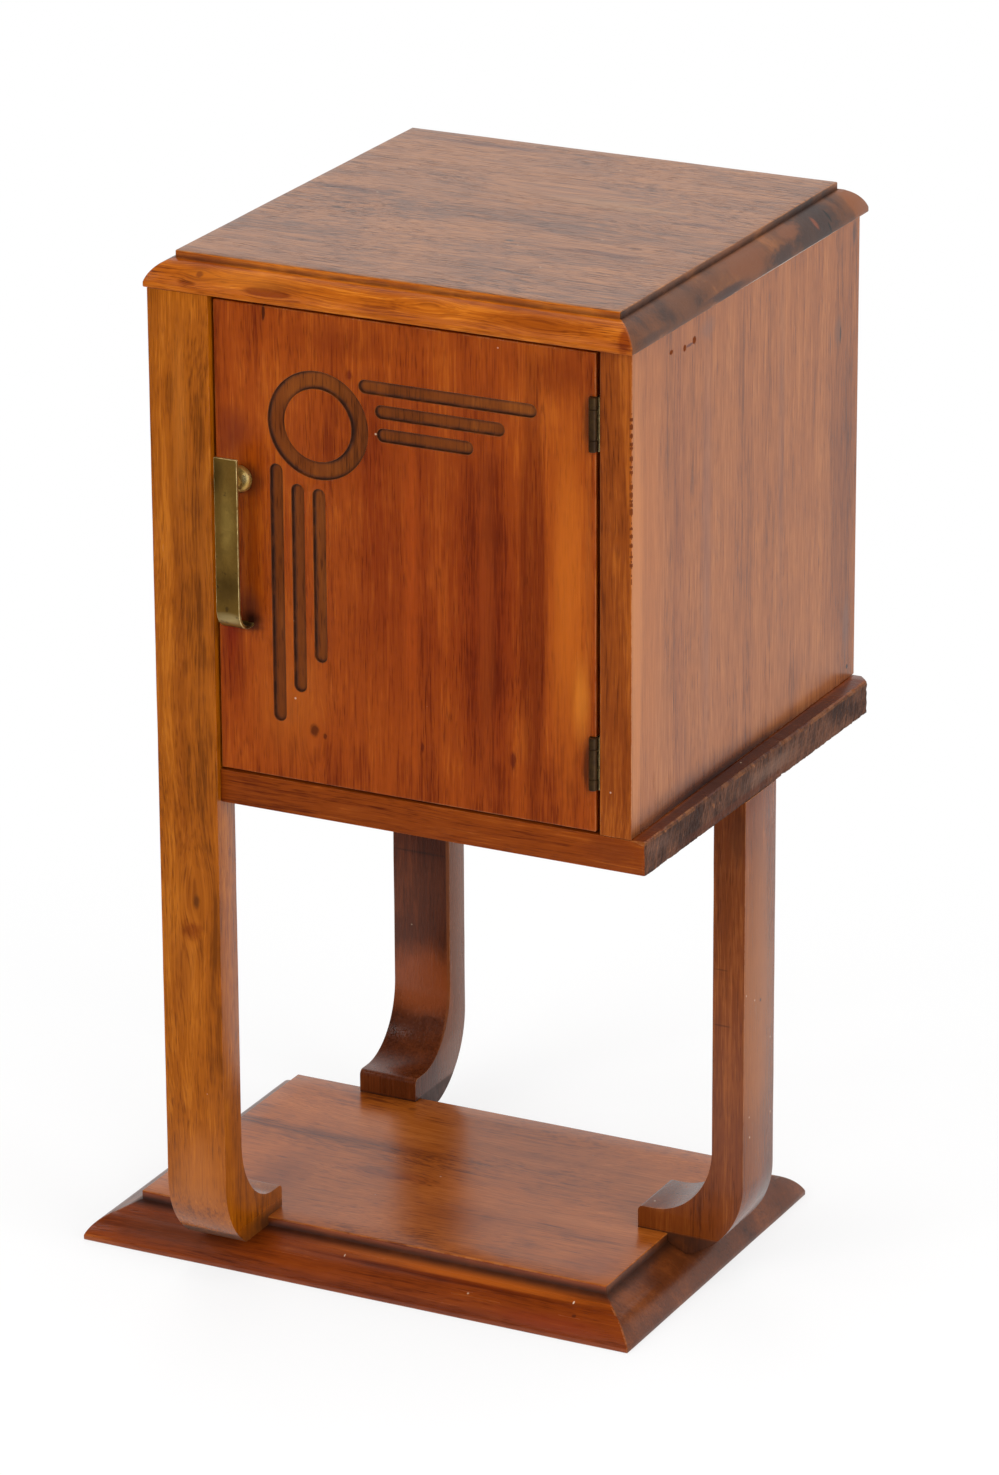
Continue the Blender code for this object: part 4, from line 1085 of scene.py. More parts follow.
def top_board() -> MouldedBoard:
    """Design the top, its field faded by light and use.

    Returns:
        The top, ready to build.
    """
    lip, width, riser, thick, rise = 3.5 * MM, 16.5 * MM, 5 * MM, 23.5 * MM, 3 * MM
    curve = bulge((0.0, lip), (width, thick - riser), rise)
    field_finish = Timber(
        "top_field", dark=(98, 58, 32), middle=(132, 81, 43), light=(153, 99, 56), grain=Grain.ACROSS,
        seed=1.0, bands=34.0, contrast=0.9, streaks=2.3, pores=1.4, wander=0.05, gloss=0.30, relief=0.3,
        rub=0.15, specks=0.05, ior=1.42, eyes=(Eye((40, 80, 750), (120, 40, 30), 0.6),), patches=(
            Patch((63, -48, 750), (5, 3, 4), (44, 26, 20), 0.9),
            Patch((-79, -25, 750), (7, 2.5, 4), (54, 32, 22), 0.8),
            Shade((-95, 20, 750), (44, 9, 6), (160, 130, 116), 0.8, 0.8, 0.8),
            Patch((90, 60, 750), (70, 16, 6), (168, 122, 80), 0.3, 0.9),
            Patch((0, 184, 750), (190, 20, 6), (150, 94, 46), 0.65, 0.8),
            Shade((-60, 160, 750), (60, 7, 6), (170, 138, 124), 0.8, 0.8, 0.8),
            Shade((130, -50, 750), (50, 8, 6), (170, 140, 130), 0.8, 0.8, 0.8),
            Shade((165, 40, 750), (30, 6, 6), (176, 146, 130), 0.8, 0.8, 0.8),
            Patch((0, -167, 750), (190, 3.0, 3), (166, 88, 30), 0.45, 0.8, 0.3)))
    edge_finish = Timber(
        "top_edge", dark=(122, 54, 8), middle=(160, 80, 10), light=(190, 106, 22), grain=Grain.ACROSS,
        seed=2.0, bands=50.0, contrast=0.95, streaks=1.2, pores=0.8, gloss=0.24, rub=0.12, dirt_and_shade=0.6,
        # Its darkening colour also paints the shade at the riser's foot.
        grime_and_shade=(72, 34, 12),
        eyes=(Eye((-51, -179, 734), (36, 30, 8), 0.8), Eye((-103.6, -175.6, 739), (20, 20, 10), 0.8),
              Eye((68, -178, 740), (34, 30, 9), 0.85), Eye((150, -178, 738), (40, 30, 9), 0.7)),
        patches=(
            Shade((-51, -179, 734), (22, 9, 3.4), (168, 122, 88), 0.8, 0.35, 0.5),
            Patch((-103.6, -175.6, 739), (3.6, 6, 2.6), (96, 34, 10), 0.85, 0.6),
            Shade((-112, -178, 733), (10, 6, 2.4), (180, 150, 120), 0.8, 0.6, 0.5),
            Patch((-70, -178, 742), (70, 14, 12), (206, 126, 44), 0.3, 0.9),
            Shade((150, -178, 740), (80, 14, 20), (226, 214, 206), 0.9, 0.9, 0.5),
            # Painted shade along the riser step, darkest at its left, where the step lies deepest in shade.
            Shade((-105, -168, 746), (48, 14, 6), (196, 172, 158), 0.95, 0.8, 0.4),
            Shade((40, -173, 745), (190, 8, 4), (224, 214, 204), 0.9, 0.8, 0.3),
            Shade((212, -178, 740), (7, 9, 20), (190, 150, 130), 0.8, 0.5, 0.4)))
    end_finish = Timber(
        "top_end", dark=(50, 26, 14), middle=(96, 54, 26), light=(134, 80, 40), grain=Grain.ACROSS,
        seed=3.4, bands=34.0, contrast=1.0, streaks=0.4, pores=0.3, gloss=0.34, ior=1.34, rub=0.1,
        dirt_and_shade=0.7, patches=(
            Patch((216, 112, 735), (34, 46, 30), (46, 28, 22), 0.9, 0.5, 1.4),
            Patch((216, 56, 731), (34, 26, 9), (44, 28, 24), 0.85, 0.6, 1.4),
            Patch((210, 188, 738), (30, 20, 30), (124, 68, 28), 0.95, 0.25, 0.6),
            Patch((211, 80, 742), (14, 22, 7), (116, 66, 36), 0.8, 0.6, 1.2),
            Patch((213, 116, 738), (10, 3.4, 6), (130, 66, 38), 0.7, 0.7),
            Patch((212, 6, 740), (30, 36, 16), (112, 62, 30), 0.85, 0.4, 1.4),
            Patch((219, -36, 730), (9, 40, 5), (54, 34, 30), 0.85, 0.6, 1.2),
            Patch((214, -97, 740), (30, 40, 12), (92, 54, 30), 0.6, 0.8, 1.4),
            Patch((219, -150, 731), (10, 34, 4), (62, 38, 26), 0.7, 0.7, 0.8),
            Patch((213, 137, 738), (24, 1.6, 5), (10, 6, 4), 0.95, 0.3, 0.3),
            Patch((218, 132, 731), (24, 1.6, 5), (10, 6, 4), 0.95, 0.3, 0.3),
            # A painted highlight along the lower arris of the end.
            Patch((218.3, 53, 726.6), (3, 132, 0.8), (236, 224, 212), 0.8, 0.4, 0.8)))
    return MouldedBoard("top_board", [*curve, (width, thick)], len(curve) - 1, 1.3,
                        field_finish, edge_finish, end_finish)


def base_board() -> MouldedBoard:
    """Design the base that the feet stand on.

    Returns:
        The base, ready to build.
    """
    lip, rise, below_riser = 3.5 * MM, 2.2 * MM, BASE_THICK - BASE_RISER
    curve = bulge((0.0, lip), (BASE_MOULDING - BASE_BAND, below_riser - BASE_DROP), rise)
    sloping = [(BASE_MOULDING - BASE_BAND * (1 - share), below_riser - BASE_DROP * (1 - share))
               for share in (0.06, 0.5, 1.0)]
    field_finish = Timber(
        "base_field", dark=(108, 50, 16), middle=(161, 84, 24), light=(182, 102, 38), grain=Grain.ACROSS,
        seed=5.0, bands=26.0, contrast=0.7, streaks=1.4, pores=0.7, wander=0.06, gloss=0.24, relief=0.06,
        specks=0.03, rub=0.2, uneven=0.1, ior=1.36, eyes=(Eye((-54, -17, 32), (70, 26, 30), 0.8),),
        patches=(
            Shade((-110, 26, 32), (130, 12, 6), (184, 166, 156), 0.85, 0.95, 0.6),
            Shade((40, 58, 32), (150, 9, 6), (190, 172, 164), 0.45, 0.95, 0.6),
            Shade((30, -60, 32), (70, 40, 6), (224, 214, 208), 0.8, 0.95, 0.4),
            Shade((150, -90, 32), (32, 40, 6), (214, 198, 188), 0.8, 0.9, 0.4),
            Patch((-92, 95, 32), (6, 4, 6), (70, 34, 18), 0.5, 0.9),
            Shade((-54, -17, 32), (60, 14, 6), (208, 184, 172), 0.8, 0.95, 0.4),
            Shade((-126, -60, 32), (40, 90, 6), (176, 150, 140), 0.6, 0.9, 0.4),
            Patch((110, -30, 32), (60, 9, 6), (176, 100, 44), 0.4)))
    edge_finish = Timber(
        "base_edge", dark=(78, 28, 8), middle=(122, 51, 10), light=(158, 78, 17), grain=Grain.ACROSS,
        seed=6.2, bands=48.0, streaks=0.7, pores=0.6, gloss=0.26, rub=0.3, dirt_and_shade=0.85,
        # Its darkening colour also paints the shade at the riser's foot.
        uneven=0.1, specks=0.015, grime_and_shade=(34, 15, 8), patches=(
            Patch((-96, -148, 25), (44, 10, 5), (66, 36, 26), 0.6, 0.8, 0.5),
            # Painted light on the front moulding: shade on its lower face, a highlight on the sloping band that
            # faces up, and a thin shade line at the crease between them.
            Shade((20, -156, 6), (260, 14, 6), (172, 146, 136), 0.9, 0.8, 0.3),
            Patch((70, -124, 22), (160, 14, 8), (184, 92, 24), 0.7, 0.8, 0.7),
            Shade((60, -132, 19), (150, 4, 2.0), (170, 132, 116), 0.8, 0.7, 0.5),
            Patch((-160, -140, 14), (70, 16, 14), (98, 50, 30), 0.6, 0.8),
            Patch((140, -146, 9), (60, 10, 8), (120, 40, 14), 0.5, 0.8),
            Patch((-28.9, -130, 20), (0.7, 8, 0.7), (226, 200, 170), 0.6, 0.6),
            Patch((155, -138, 15), (2.4, 8, 1.0), (60, 24, 12), 0.7, 0.5),
            Patch((150, -128, 20), (0.8, 8, 0.8), (236, 214, 190), 0.8, 0.5)))
    end_finish = Timber(
        "base_end", dark=(48, 21, 9), middle=(90, 44, 18), light=(122, 64, 28), grain=Grain.ACROSS,
        seed=7.1, bands=30.0, contrast=1.0, streaks=0.6, pores=0.4, gloss=0.30, ior=1.36, rub=0.25,
        uneven=0.15, patches=(
            Patch((200, 0, 24), (20, 26, 8), (60, 30, 18), 0.5, 0.7),
            Patch((214, -70, 14), (14, 40, 12), (150, 92, 54), 0.4, 0.8),
            Patch((214, 60, 14), (14, 30, 14), (70, 36, 20), 0.25, 0.7),
            Patch((214, 130, 16), (14, 20, 14), (84, 44, 24), 0.6, 0.6)))
    return MouldedBoard("base_board", [*curve, *sloping, (BASE_MOULDING, BASE_THICK)],
                        len(curve) + len(sloping) - 1, 4.1, field_finish, edge_finish, end_finish)


@dataclass
class BottomBoard:
    """The floor of the body, with its right end left rough from the saw."""

    corner_cut: float = 8 * MM
    chamfer: float = 2.2 * MM
    rounding: float = 0.8 * MM
    lean: float = 3.9 * MM
    notch_width: float = 46.3 * MM
    front_notch: float = 19.8 * MM
    back_notch: float = 22.8 * MM
    front_round: float = 2.6 * MM
    end_depth: float = 1 * MM
    end_pitch: float = 1.3 * MM
    kerf_pitch: float = 2.6 * MM
    kerf_lean: float = 0.35
    roughness: float = 0.45 * MM
    chip_depth: float = 12.8 * MM
    fibre_lift: float = 0.35 * MM
    finish: Timber = Timber(
        "bottom_board", dark=(84, 30, 8), middle=(122, 53, 10), light=(152, 76, 20), grain=Grain.ACROSS,
        seed=9.0, bands=60.0, gloss=0.24, rub=0.3, ior=1.28, patches=(
            Patch((222, 0, 391), (11, 260, 7), (66, 26, 10), 0.95, 0.5, 0.4),
            Patch((200, -176, 380), (30, 10, 14), (96, 38, 12), 0.6, 0.8)))

    def build(self) -> None:
        """Cut the board to its outline and saw its right end."""
        low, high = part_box("bottom_board")
        right = high.x - self.lean
        left = low.x + self.notch_width
        rounded = arc((right - self.front_round, low.y + self.front_round), self.front_round,
                      self.front_round, 270, 360, 6)
        outline = [(low.x, low.y + self.front_notch), (left, low.y + self.front_notch), (left, low.y),
                   *rounded, (high.x, high.y - self.corner_cut),
                   (high.x - self.corner_cut, high.y), (left, high.y), (left, high.y - self.back_notch),
                   (low.x, high.y - self.back_notch)]
        work = Workpiece("bottom_board_dressed")
        work.plate([Vector((x, y, low.z)) for x, y in outline], Vector((0, 0, high.z - low.z)))
        edge = right - self.end_depth
        round_start = right - self.front_round - 0.1 * MM
        work.soften(self.chamfer, 2, 30.0, lambda item: all(
            vert.co.x > round_start and vert.co.z > high.z - 1 * MM for vert in item.verts))
        work.soften(self.rounding, 2, 50.0, lambda item: item.calc_length() > 5 * MM and not all(
            vert.co.x > round_start for vert in item.verts))
        for face in work.bm.faces:
            if face.normal.x > 0.4 and face.calc_center_median().x > edge:
                face.material_index = 1
        for axis in (1, 2):
            work.slice(axis, self.end_pitch, lambda middle: middle.x > edge)
        self.saw(work, edge, low, high)
        work.deliver((self.finish, SawnEnd()), ("bottom_board",), 50.0)

    def saw(self, work: Workpiece, edge: float, low: Vector, high: Vector) -> None:
        """Leave kerf marks, torn fibres and nibbled edges on the right end.

        Args:
            work: the board.
            edge: where the sawn end starts.
            low, high: the board's lowest and highest corners.
        """
        darkened_share = work.bm.verts.layers.float["grime_and_shade"]
        for vert in work.bm.verts:
            if vert.co.x < edge:
                continue
            height = (vert.co.z - low.z) / (high.z - low.z)
            phase = (vert.co.y - self.kerf_lean * (vert.co.z - low.z)) / self.kerf_pitch
            kerf = math.sin(math.tau * phase + 2.0 * noise.noise(vert.co / (14 * MM)))
            torn = noise.noise(vert.co / (2.2 * MM))
            chip = max(0.0, noise.noise(Vector((3.0, vert.co.y / (9 * MM), 1.0))) - 0.25)
            fall = self.roughness * (0.6 + 0.35 * kerf + 0.9 * torn)
            fall += chip * self.chip_depth * (max(0.0, height - 0.75) + max(0.0, 0.2 - height))
            vert.co.x -= max(0.0, fall)
            lift = self.fibre_lift * noise.noise(vert.co / (6 * MM))
            vert.co.z += lift * (1.0 if height < 0.1 else 0.3)
            vert[darkened_share] = 0.25 + 0.35 * max(0.0, -kerf)


@dataclass
class ScrolledLeg:
    """A leg that turns inward at its foot in a scroll."""

    node: str
    face: float
    inward: int
    along: int
    finish: Timber
    field_depth: float
    lowest: float
    seed: float
    thickness: float = 24 * MM
    foot: float = 81 * MM
    toe_round: float = 4 * MM
    toe_top: float = 49.3 * MM
    heel_radius: float = 62 * MM
    heel_start: float = 78 * MM
    instep_start: float = 102 * MM
    instep_end: float = 69 * MM
    rounding: float = 1.3 * MM
    rounded_above: float = 36 * MM
    dirty_below: float = 34.5 * MM
    dirt_and_shade: float = 0.9
    slice_pitch: float = 16 * MM
    waver: float = 0.14 * MM
    waver_size: float = 30 * MM

    def heel(self, height: float) -> float:
        """How far the heel has drawn in from the outer face at a height."""
        return self.heel_radius - math.sqrt(self.heel_radius ** 2 - (self.heel_start - height) ** 2)

    def sole(self, depth: float) -> float:
        """The height of the sole at a depth from the outer face."""
        slope = BASE_DROP / BASE_BAND
        return max(self.lowest, BASE_THICK - BASE_RISER - slope * (self.field_depth - depth)) + FIT

    def outline(self, top: float) -> Profile:
        """Draw the leg's side view.

        Args:
            top: the height of the leg's upper end.

        Returns:
            Its corners as depth and height.
        """
        low, high = 0.0, self.field_depth
        for _ in range(40):
            middle = (low + high) / 2
            low, high = (middle, high) if self.heel(self.sole(middle)) > middle else (low, middle)
        last = math.degrees(math.acos(1 - low / self.heel_radius))
        heel = arc((self.heel_radius, self.heel_start), self.heel_radius, self.heel_radius, 180, 180 + last)
        heel[-1] = (low, self.sole(low))
        riser_foot = BASE_THICK - BASE_RISER
        step = self.field_depth - FIT
        sole = [(step, riser_foot + FIT), (step, BASE_THICK + FIT)]
        band_end = self.field_depth - BASE_BAND * (riser_foot - self.lowest) / BASE_DROP
        if low < band_end - FIT < self.field_depth - 2 * FIT:
            sole.insert(0, (band_end - FIT, self.lowest + FIT))
        toe = [(self.foot, BASE_THICK + FIT)]
        toe += arc((self.foot - self.toe_round, self.toe_top - self.toe_round), self.toe_round,
                   self.toe_round, 0, 90, 8)
        instep = arc((self.instep_end, self.instep_start), self.instep_end - self.thickness,
                     self.instep_start - self.toe_top, 270, 180, 28)
        return [(0.0, top), *heel, *sole, *toe, *instep, (self.thickness, top)]

    def build(self) -> None:
        """Cut the leg from its side view and ease its arrises."""
        low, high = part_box(self.node)
        across = 1 - self.along
        points = []
        for depth, height in self.outline(high.z):
            point = Vector((0.0, 0.0, height))
            point[self.along] = self.face + self.inward * depth
            point[across] = low[across]
            points.append(point)
        work = Workpiece(self.node + "_dressed")
        work.plate(points, axis_way(across) * (high[across] - low[across]))
        work.soften(self.rounding, 3, 28.0,
                    lambda edge: max(vert.co.z for vert in edge.verts) > self.rounded_above)
        work.slice(2, self.slice_pitch)
        work.darken_points(self.dirt_and_shade, [vert for vert in work.bm.verts if vert.co.z < self.dirty_below])
        work.waver(self.waver, self.waver_size, self.seed)
        work.deliver((self.finish,), (self.node,))


def legs() -> list[ScrolledLeg]:
    """Design the three legs, each with its own timber.

    Returns:
        The front left, back left and right legs, ready to build.
    """
    front_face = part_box("front_left_leg")[0].y
    back_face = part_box("back_left_leg")[1].y
    right_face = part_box("right_leg")[1].x
    base_low, base_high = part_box("base_board")
    front = Timber(
        "front_leg", dark=(106, 51, 3), middle=(146, 75, 4), light=(172, 96, 14), grain=Grain.UP, seed=11.0,
        bands=70.0, contrast=0.95, pores=0.6, wander=0.03, gloss=0.25, rub=0.3,
        eyes=(Eye((-114, -180, 290), (22, 30, 60), 0.85), Eye((-122, -180, 240), (18, 30, 50), 0.6)),
        patches=(
            Patch((-114, -180, 290), (3.6, 8, 7), (70, 34, 12), 0.7, 0.7),
            Shade((-118, -180, 268), (12, 8, 10), (190, 150, 120), 0.7, 0.8, 0.8),
            Patch((-119, -180, 640), (9, 8, 90), (186, 110, 32), 0.3, 0.95),
            Shade((-123, -180, 400), (9, 8, 330), (226, 216, 206), 0.7, 0.9, 0.3),
            Shade((-128, -180, 230), (10, 8, 60), (212, 198, 186), 0.7, 0.9, 0.3),
            Patch((-118, -180, 80), (30, 8, 50), (176, 104, 46), 0.45, 0.9)))
    # The back leg's colours are much darker than the front leg's: painted shade, because its front stands under
    # the body.
    back = Timber(
        "back_leg", dark=(56, 22, 7), middle=(82, 36, 12), light=(106, 50, 19), grain=Grain.UP, seed=13.0,
        bands=50.0, gloss=0.27, ior=1.39, patches=(
            Patch((-118, 164, 205), (30, 8, 1.2), (40, 18, 8), 0.6, 0.5, 0.3),
            # Painted shade under the body: lighter near the floor, darker higher up.
            Patch((-118, 164, 98), (44, 8, 44), (146, 72, 32), 0.8, 0.7),
            Shade((-118, 164, 225), (40, 8, 46), (204, 188, 178), 0.9, 0.8, 0.3),
            # A painted sheen that makes the face to the right lighter.
            Patch((-96, 178, 210), (3, 60, 240), (132, 74, 36), 0.55, 0.3, 0.1)))
    # The right leg's colours are darker than the front leg's, which paints in the shade under the body's overhang.
    right = Timber(
        "right_leg", dark=(74, 32, 11), middle=(109, 51, 15), light=(138, 73, 26), grain=Grain.UP, seed=15.0,
        bands=60.0, contrast=0.75, gloss=0.25, patches=(
            Patch((211, -21, 197.5), (8, 6, 0.9), (60, 28, 10), 0.5, 0.5, 0.3),
            Patch((210, -21, 239), (7, 6, 0.8), (60, 28, 10), 0.4, 0.5, 0.3),
            # A painted shadow cast by the body on the top of the leg's front.
            Patch((222, -21, 340), (9, 12, 30), (60, 28, 12), 0.4, 0.7),
            # A painted sheen that makes the face to the right lighter.
            Patch((230, 0, 210), (3, 60, 240), (164, 96, 40), 0.6, 0.3, 0.1),
            Patch((228, 6, 210), (6, 1.6, 1.6), (60, 30, 16), 0.8, 0.5)))
    outer, inner = BASE_THICK - BASE_RISER, BASE_THICK - BASE_RISER - BASE_DROP
    return [
        ScrolledLeg("front_left_leg", front_face, 1, 1, front,
                    base_low.y + BASE_MOULDING - front_face, outer, 2.0),
        ScrolledLeg("back_left_leg", back_face, -1, 1, back,
                    back_face - (base_high.y - BASE_MOULDING), inner, 3.0),
        ScrolledLeg("right_leg", right_face, -1, 0, right,
                    right_face - (base_high.x - BASE_MOULDING), inner, 4.0),
    ]


@dataclass
class HingePost:
    """The slim post at the right of the door, its outer arris nibbled by a blunt plane."""

    flank: Timber
    rounding: float = 0.5 * MM
    nibble_pitch: float = 0.8 * MM
    nibble_depth: float = 1.5 * MM
    nibbled: tuple[float, float] = (566 * MM, 694 * MM)
    fade: float = 14 * MM
    tooth_pitch: float = 5.4 * MM
    tooth_rise: float = 0.2
    tooth_end: float = 0.75
    lean: Place = (-0.75, 0.66, 0.0)
    dirtiest: float = 0.7
    bare_from: float = 0.1
    flat_above: float = 60 * MM * MM
    finish: Timber = Timber(
        "hinge_post", dark=(96, 40, 8), middle=(130, 60, 10), light=(156, 80, 16), grain=Grain.UP,
        seed=17.0, bands=60.0, contrast=1.0, gloss=0.24, rub=0.2, dirt_and_shade=0.95, uneven=0.1,
        grime_and_shade=(74, 30, 10), specks=0.01, patches=(
            Shade((204, -176, 440), (20, 12, 70), (214, 190, 180), 0.5, 0.9, 0.5),))

    def build(self) -> None:
        """Shape the post and nibble its arris."""
        low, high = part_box("front_right_post")
        work = Workpiece("front_right_post_dressed").copy_of("front_right_post")
        work.soften(self.rounding, 2, 60.0, lambda edge: edge.calc_length() > 15 * MM and not all(
            vert.co.x > high.x - 1 * MM and vert.co.y > high.y - 1 * MM for vert in edge.verts))
        for face in work.bm.faces:
            face.material_index = 1 if face.normal.x > 0.9 else 0
        corner = Vector((high.x, low.y, 0.0))
        reach = self.nibble_depth * 1.1

        def near(middle: Vector) -> bool:
            """Whether a face lies along the outer arris."""
            along = self.nibbled[0] < middle.z < self.nibbled[1]
            return along and corner.x - middle.x < reach and middle.y - corner.y < reach
        work.cut(0, corner.x - reach)
        work.cut(1, corner.y + reach)
        for height in self.nibbled:
            work.cut(2, height)
        work.slice(2, self.nibble_pitch, near)
        self.nibble(work, corner)
        work.deliver((self.finish, self.flank, BARE), ("front_right_post",), 40.0, self.flat_above)

    def nibble(self, work: Workpiece, corner: Vector) -> None:
        """Press uneven teeth into the arris and bare the timber there.

        Args:
            work: the post, already cut fine along the arris.
            corner: a point on the arris.
        """
        start, end = self.nibbled
        darkened_share = work.bm.verts.layers.float["grime_and_shade"]
        for vert in work.bm.verts:
            height = vert.co.z
            if (vert.co.xy - corner.xy).length > self.nibble_depth or not start < height < end:
                continue
            sway = noise.noise(Vector((5.0, 2.0, height / (8 * MM))))
            beat, along = divmod(height / self.tooth_pitch + 1.4 * sway, 1.0)
            size = min(1.0, max(0.0, 0.7 + noise.noise(Vector((beat * 1.7, 4.3, 8.1)))))
            falling = (self.tooth_end - along) / (self.tooth_end - self.tooth_rise)
            tooth = size * max(0.0, along / self.tooth_rise if along < self.tooth_rise else falling)
            fade = min(1.0, max(0.0, min(height - start, end - height) / self.fade))
            share = fade * (0.75 + 0.5 * noise.noise(Vector((1.0, 7.0, height / (9 * MM)))))
            vert.co += Vector(self.lean) * tooth * share * self.nibble_depth
            vert[darkened_share] = min(self.dirtiest, tooth * share)
        for face in work.bm.faces:
            if sum(vert[darkened_share] for vert in face.verts) > self.bare_from * len(face.verts):
                face.material_index = 2


@dataclass
class Panels:
    """The sides, the back, the rails, the shelf and its cleats."""

    nails: tuple[tuple[float, float, float, float], ...] = (
        (-116.0, 710.9, 2.9, 1.8), (-95.5, 708.1, 2.5, 2.7), (-80.7, 709.6, 3.0, 3.0))
    nail_stand: float = 0.06 * MM
    nail_crown: float = 0.8
    side_rounding: float = 0.6 * MM
    inner_rounding: float = 0.5 * MM
    flat_above: float = 300 * MM * MM
    # The sides' colours are paler than the door's: faded by light, and in part a painted sheen.
    side_dark: Rgb = (112, 60, 28)
    side_middle: Rgb = (147, 82, 36)
    side_light: Rgb = (166, 100, 50)
    inner_dark: Rgb = (116, 68, 34)
    inner_middle: Rgb = (150, 94, 52)
    inner_light: Rgb = (174, 118, 70)

    def side_finish(self, name: str, seed: float, patches: tuple[Patch, ...] = ()) -> Timber:
        """Give a side its timber, faded by light and, in part, paled by a painted sheen.

        Args:
            name: the finish's name.
            seed: a number that tells one board's figure from another's.
            patches: the side's own marks.

        Returns:
            The finish.
        """
        return Timber(name, dark=self.side_dark, middle=self.side_middle, light=self.side_light,
                      grain=Grain.UP, seed=seed, bands=44.0, contrast=0.66, streaks=2.0, pores=0.55,
                      wander=0.012, gloss=0.24, gloss_change=0.1, relief=0.1, specks=0.0, ior=1.41,
                      dirt_and_shade=0.95, uneven=0.1, grime_and_shade=(84, 22, 2), patches=patches,
                      eyes=(Eye((215, 150, 650), (30, 22, 44), 0.7),))

    def right_finish(self) -> Timber:
        """Design the right side with its knot, nail marks and stains, which the post's flank shares.

        Returns:
            The finish.
        """
        return self.side_finish("right_side", 21.0, (
            Patch((215, 153, 652), (6, 9, 16), (110, 72, 54), 0.6, 0.7),
            Patch((215, 157, 648), (6, 1.6, 8), (40, 22, 16), 0.8, 0.5),
            Patch((215, 140, 646), (6, 1.4, 12), (96, 66, 56), 0.6, 0.6),
            Patch((215, 179, 716), (6, 5, 12), (70, 42, 34), 0.7, 0.7),
            Patch((215, -88, 708.2), (6, 8, 1.5), (84, 20, 0), 0.9, 0.6, 0.2),
            Shade((215, -102, 560), (6, 13, 260), (214, 196, 200), 0.45, 0.5, 0.3),
            Patch((215, -60, 712), (6, 16, 11), (120, 76, 56), 0.6, 0.8, 0.9),
            Patch((215, 175, 399), (6, 2.0, 2), (30, 16, 12), 0.9, 0.4),
            Patch((215, 172, 430), (6, 8, 34), (104, 82, 78), 0.5, 0.8),
            Patch((215, -60, 560), (6, 12, 220), (112, 72, 62), 0.4, 0.9, 0.4),
            Patch((215, 60, 600), (6, 8, 200), (112, 66, 48), 0.4, 0.9, 0.4),
            Patch((215, -150, 560), (6, 34, 240), (172, 98, 40), 0.5, 0.9, 0.4),
            Patch((215, -168, 560), (6, 14, 240), (188, 114, 54), 0.65, 0.7, 0.4),
            Shade((215, 166, 540), (6, 50, 230), (218, 208, 202), 0.95, 0.9, 0.3),
            # Painted shadow and dark reflection along the side's bottom, over some soiling.
            Shade((215, -70, 390), (8, 190, 24), (140, 112, 92), 0.9, 0.95, 0.2),
            Shade((215, -30, 388), (8, 230, 11), (104, 74, 56), 0.9, 0.8, 0.3)))

    def build(self) -> None:
        """Make the flat pieces of the body from rounded copies of their frames."""
        self.dress_side("right_side_panel", self.right_finish(), self.nails)
        self.dress_side("left_side_panel", self.side_finish("left_side", 23.0), ())
        self.dress_inside()

    def dress_side(self, node: str, finish: Timber, nails: Sequence[tuple]) -> None:
        """Round one side and close its joint with the post.

        Args:
            node: the side's CAD node.
            finish: its timber.
            nails: the nail heads that show on it.
        """
        low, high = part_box(node)
        work = Workpiece(node + "_dressed").copy_of(node)
        work.soften(self.side_rounding, 2, 60.0, lambda edge: edge.calc_length() > 12 * MM and not all(
            vert.co.y < low.y + 1 * MM for vert in edge.verts))
        for vert in work.bm.verts:
            if vert.co.y < low.y + 0.01 * MM:
                vert.co.y -= FIT
        for nail in nails:
            self.drive_nail(work, high.x, *nail)
        work.deliver((finish, BARE), (node,), 40.0, self.flat_above)

    def drive_nail(self, work: Workpiece, face: float, across: float, height: float,
                   half_width: float, half_height: float) -> None:
        """Add an old nail head that shows under the top, as a low rough button without varnish.

        Args:
            work: the side.
            face: where the side's outer face lies.
            across, height: the nail's place on the face, in millimetres.
            half_width, half_height: half the head's size, in millimetres.
        """
        before, known = set(work.bm.faces), set(work.bm.verts)
        place = Vector((face - self.nail_stand, across * MM, height * MM))
        top = self.nail_stand * 2
        profile = [(0.0, 0.0), (MM, 0.0), (self.nail_crown * MM, top), (0.0, top)]
        work.lathe(profile, place, Vector((1, 0, 0)), 14)
        for vert in work.bm.verts:
            if vert not in known:
                vert.co.y = place.y + (vert.co.y - place.y) * half_width
                vert.co.z = place.z + (vert.co.z - place.z) * half_height
        for item in work.bm.faces:
            if item not in before:
                item.material_index = 1

    def dress_inside(self) -> None:
        """Round the back, the rails, the shelf and its cleats."""
        plain = (("back_panel", Grain.UP, 31.0), ("front_top_rail", Grain.ACROSS, 32.0),
                 ("back_top_rail", Grain.ACROSS, 33.0), ("shelf", Grain.ACROSS, 34.0),
                 ("left_shelf_cleat", Grain.DEEP, 35.0), ("right_shelf_cleat", Grain.DEEP, 36.0))
        for node, grain, seed in plain:
            finish = Timber(node + "_timber", self.inner_dark, self.inner_middle, self.inner_light,
                            grain=grain, seed=seed, gloss=0.55, rub=0.3)
            work = Workpiece(node + "_dressed").copy_of(node)
            work.soften(self.inner_rounding, 2, 60.0, lambda edge: edge.calc_length() > 5 * MM)
            work.deliver((finish,), (node,))


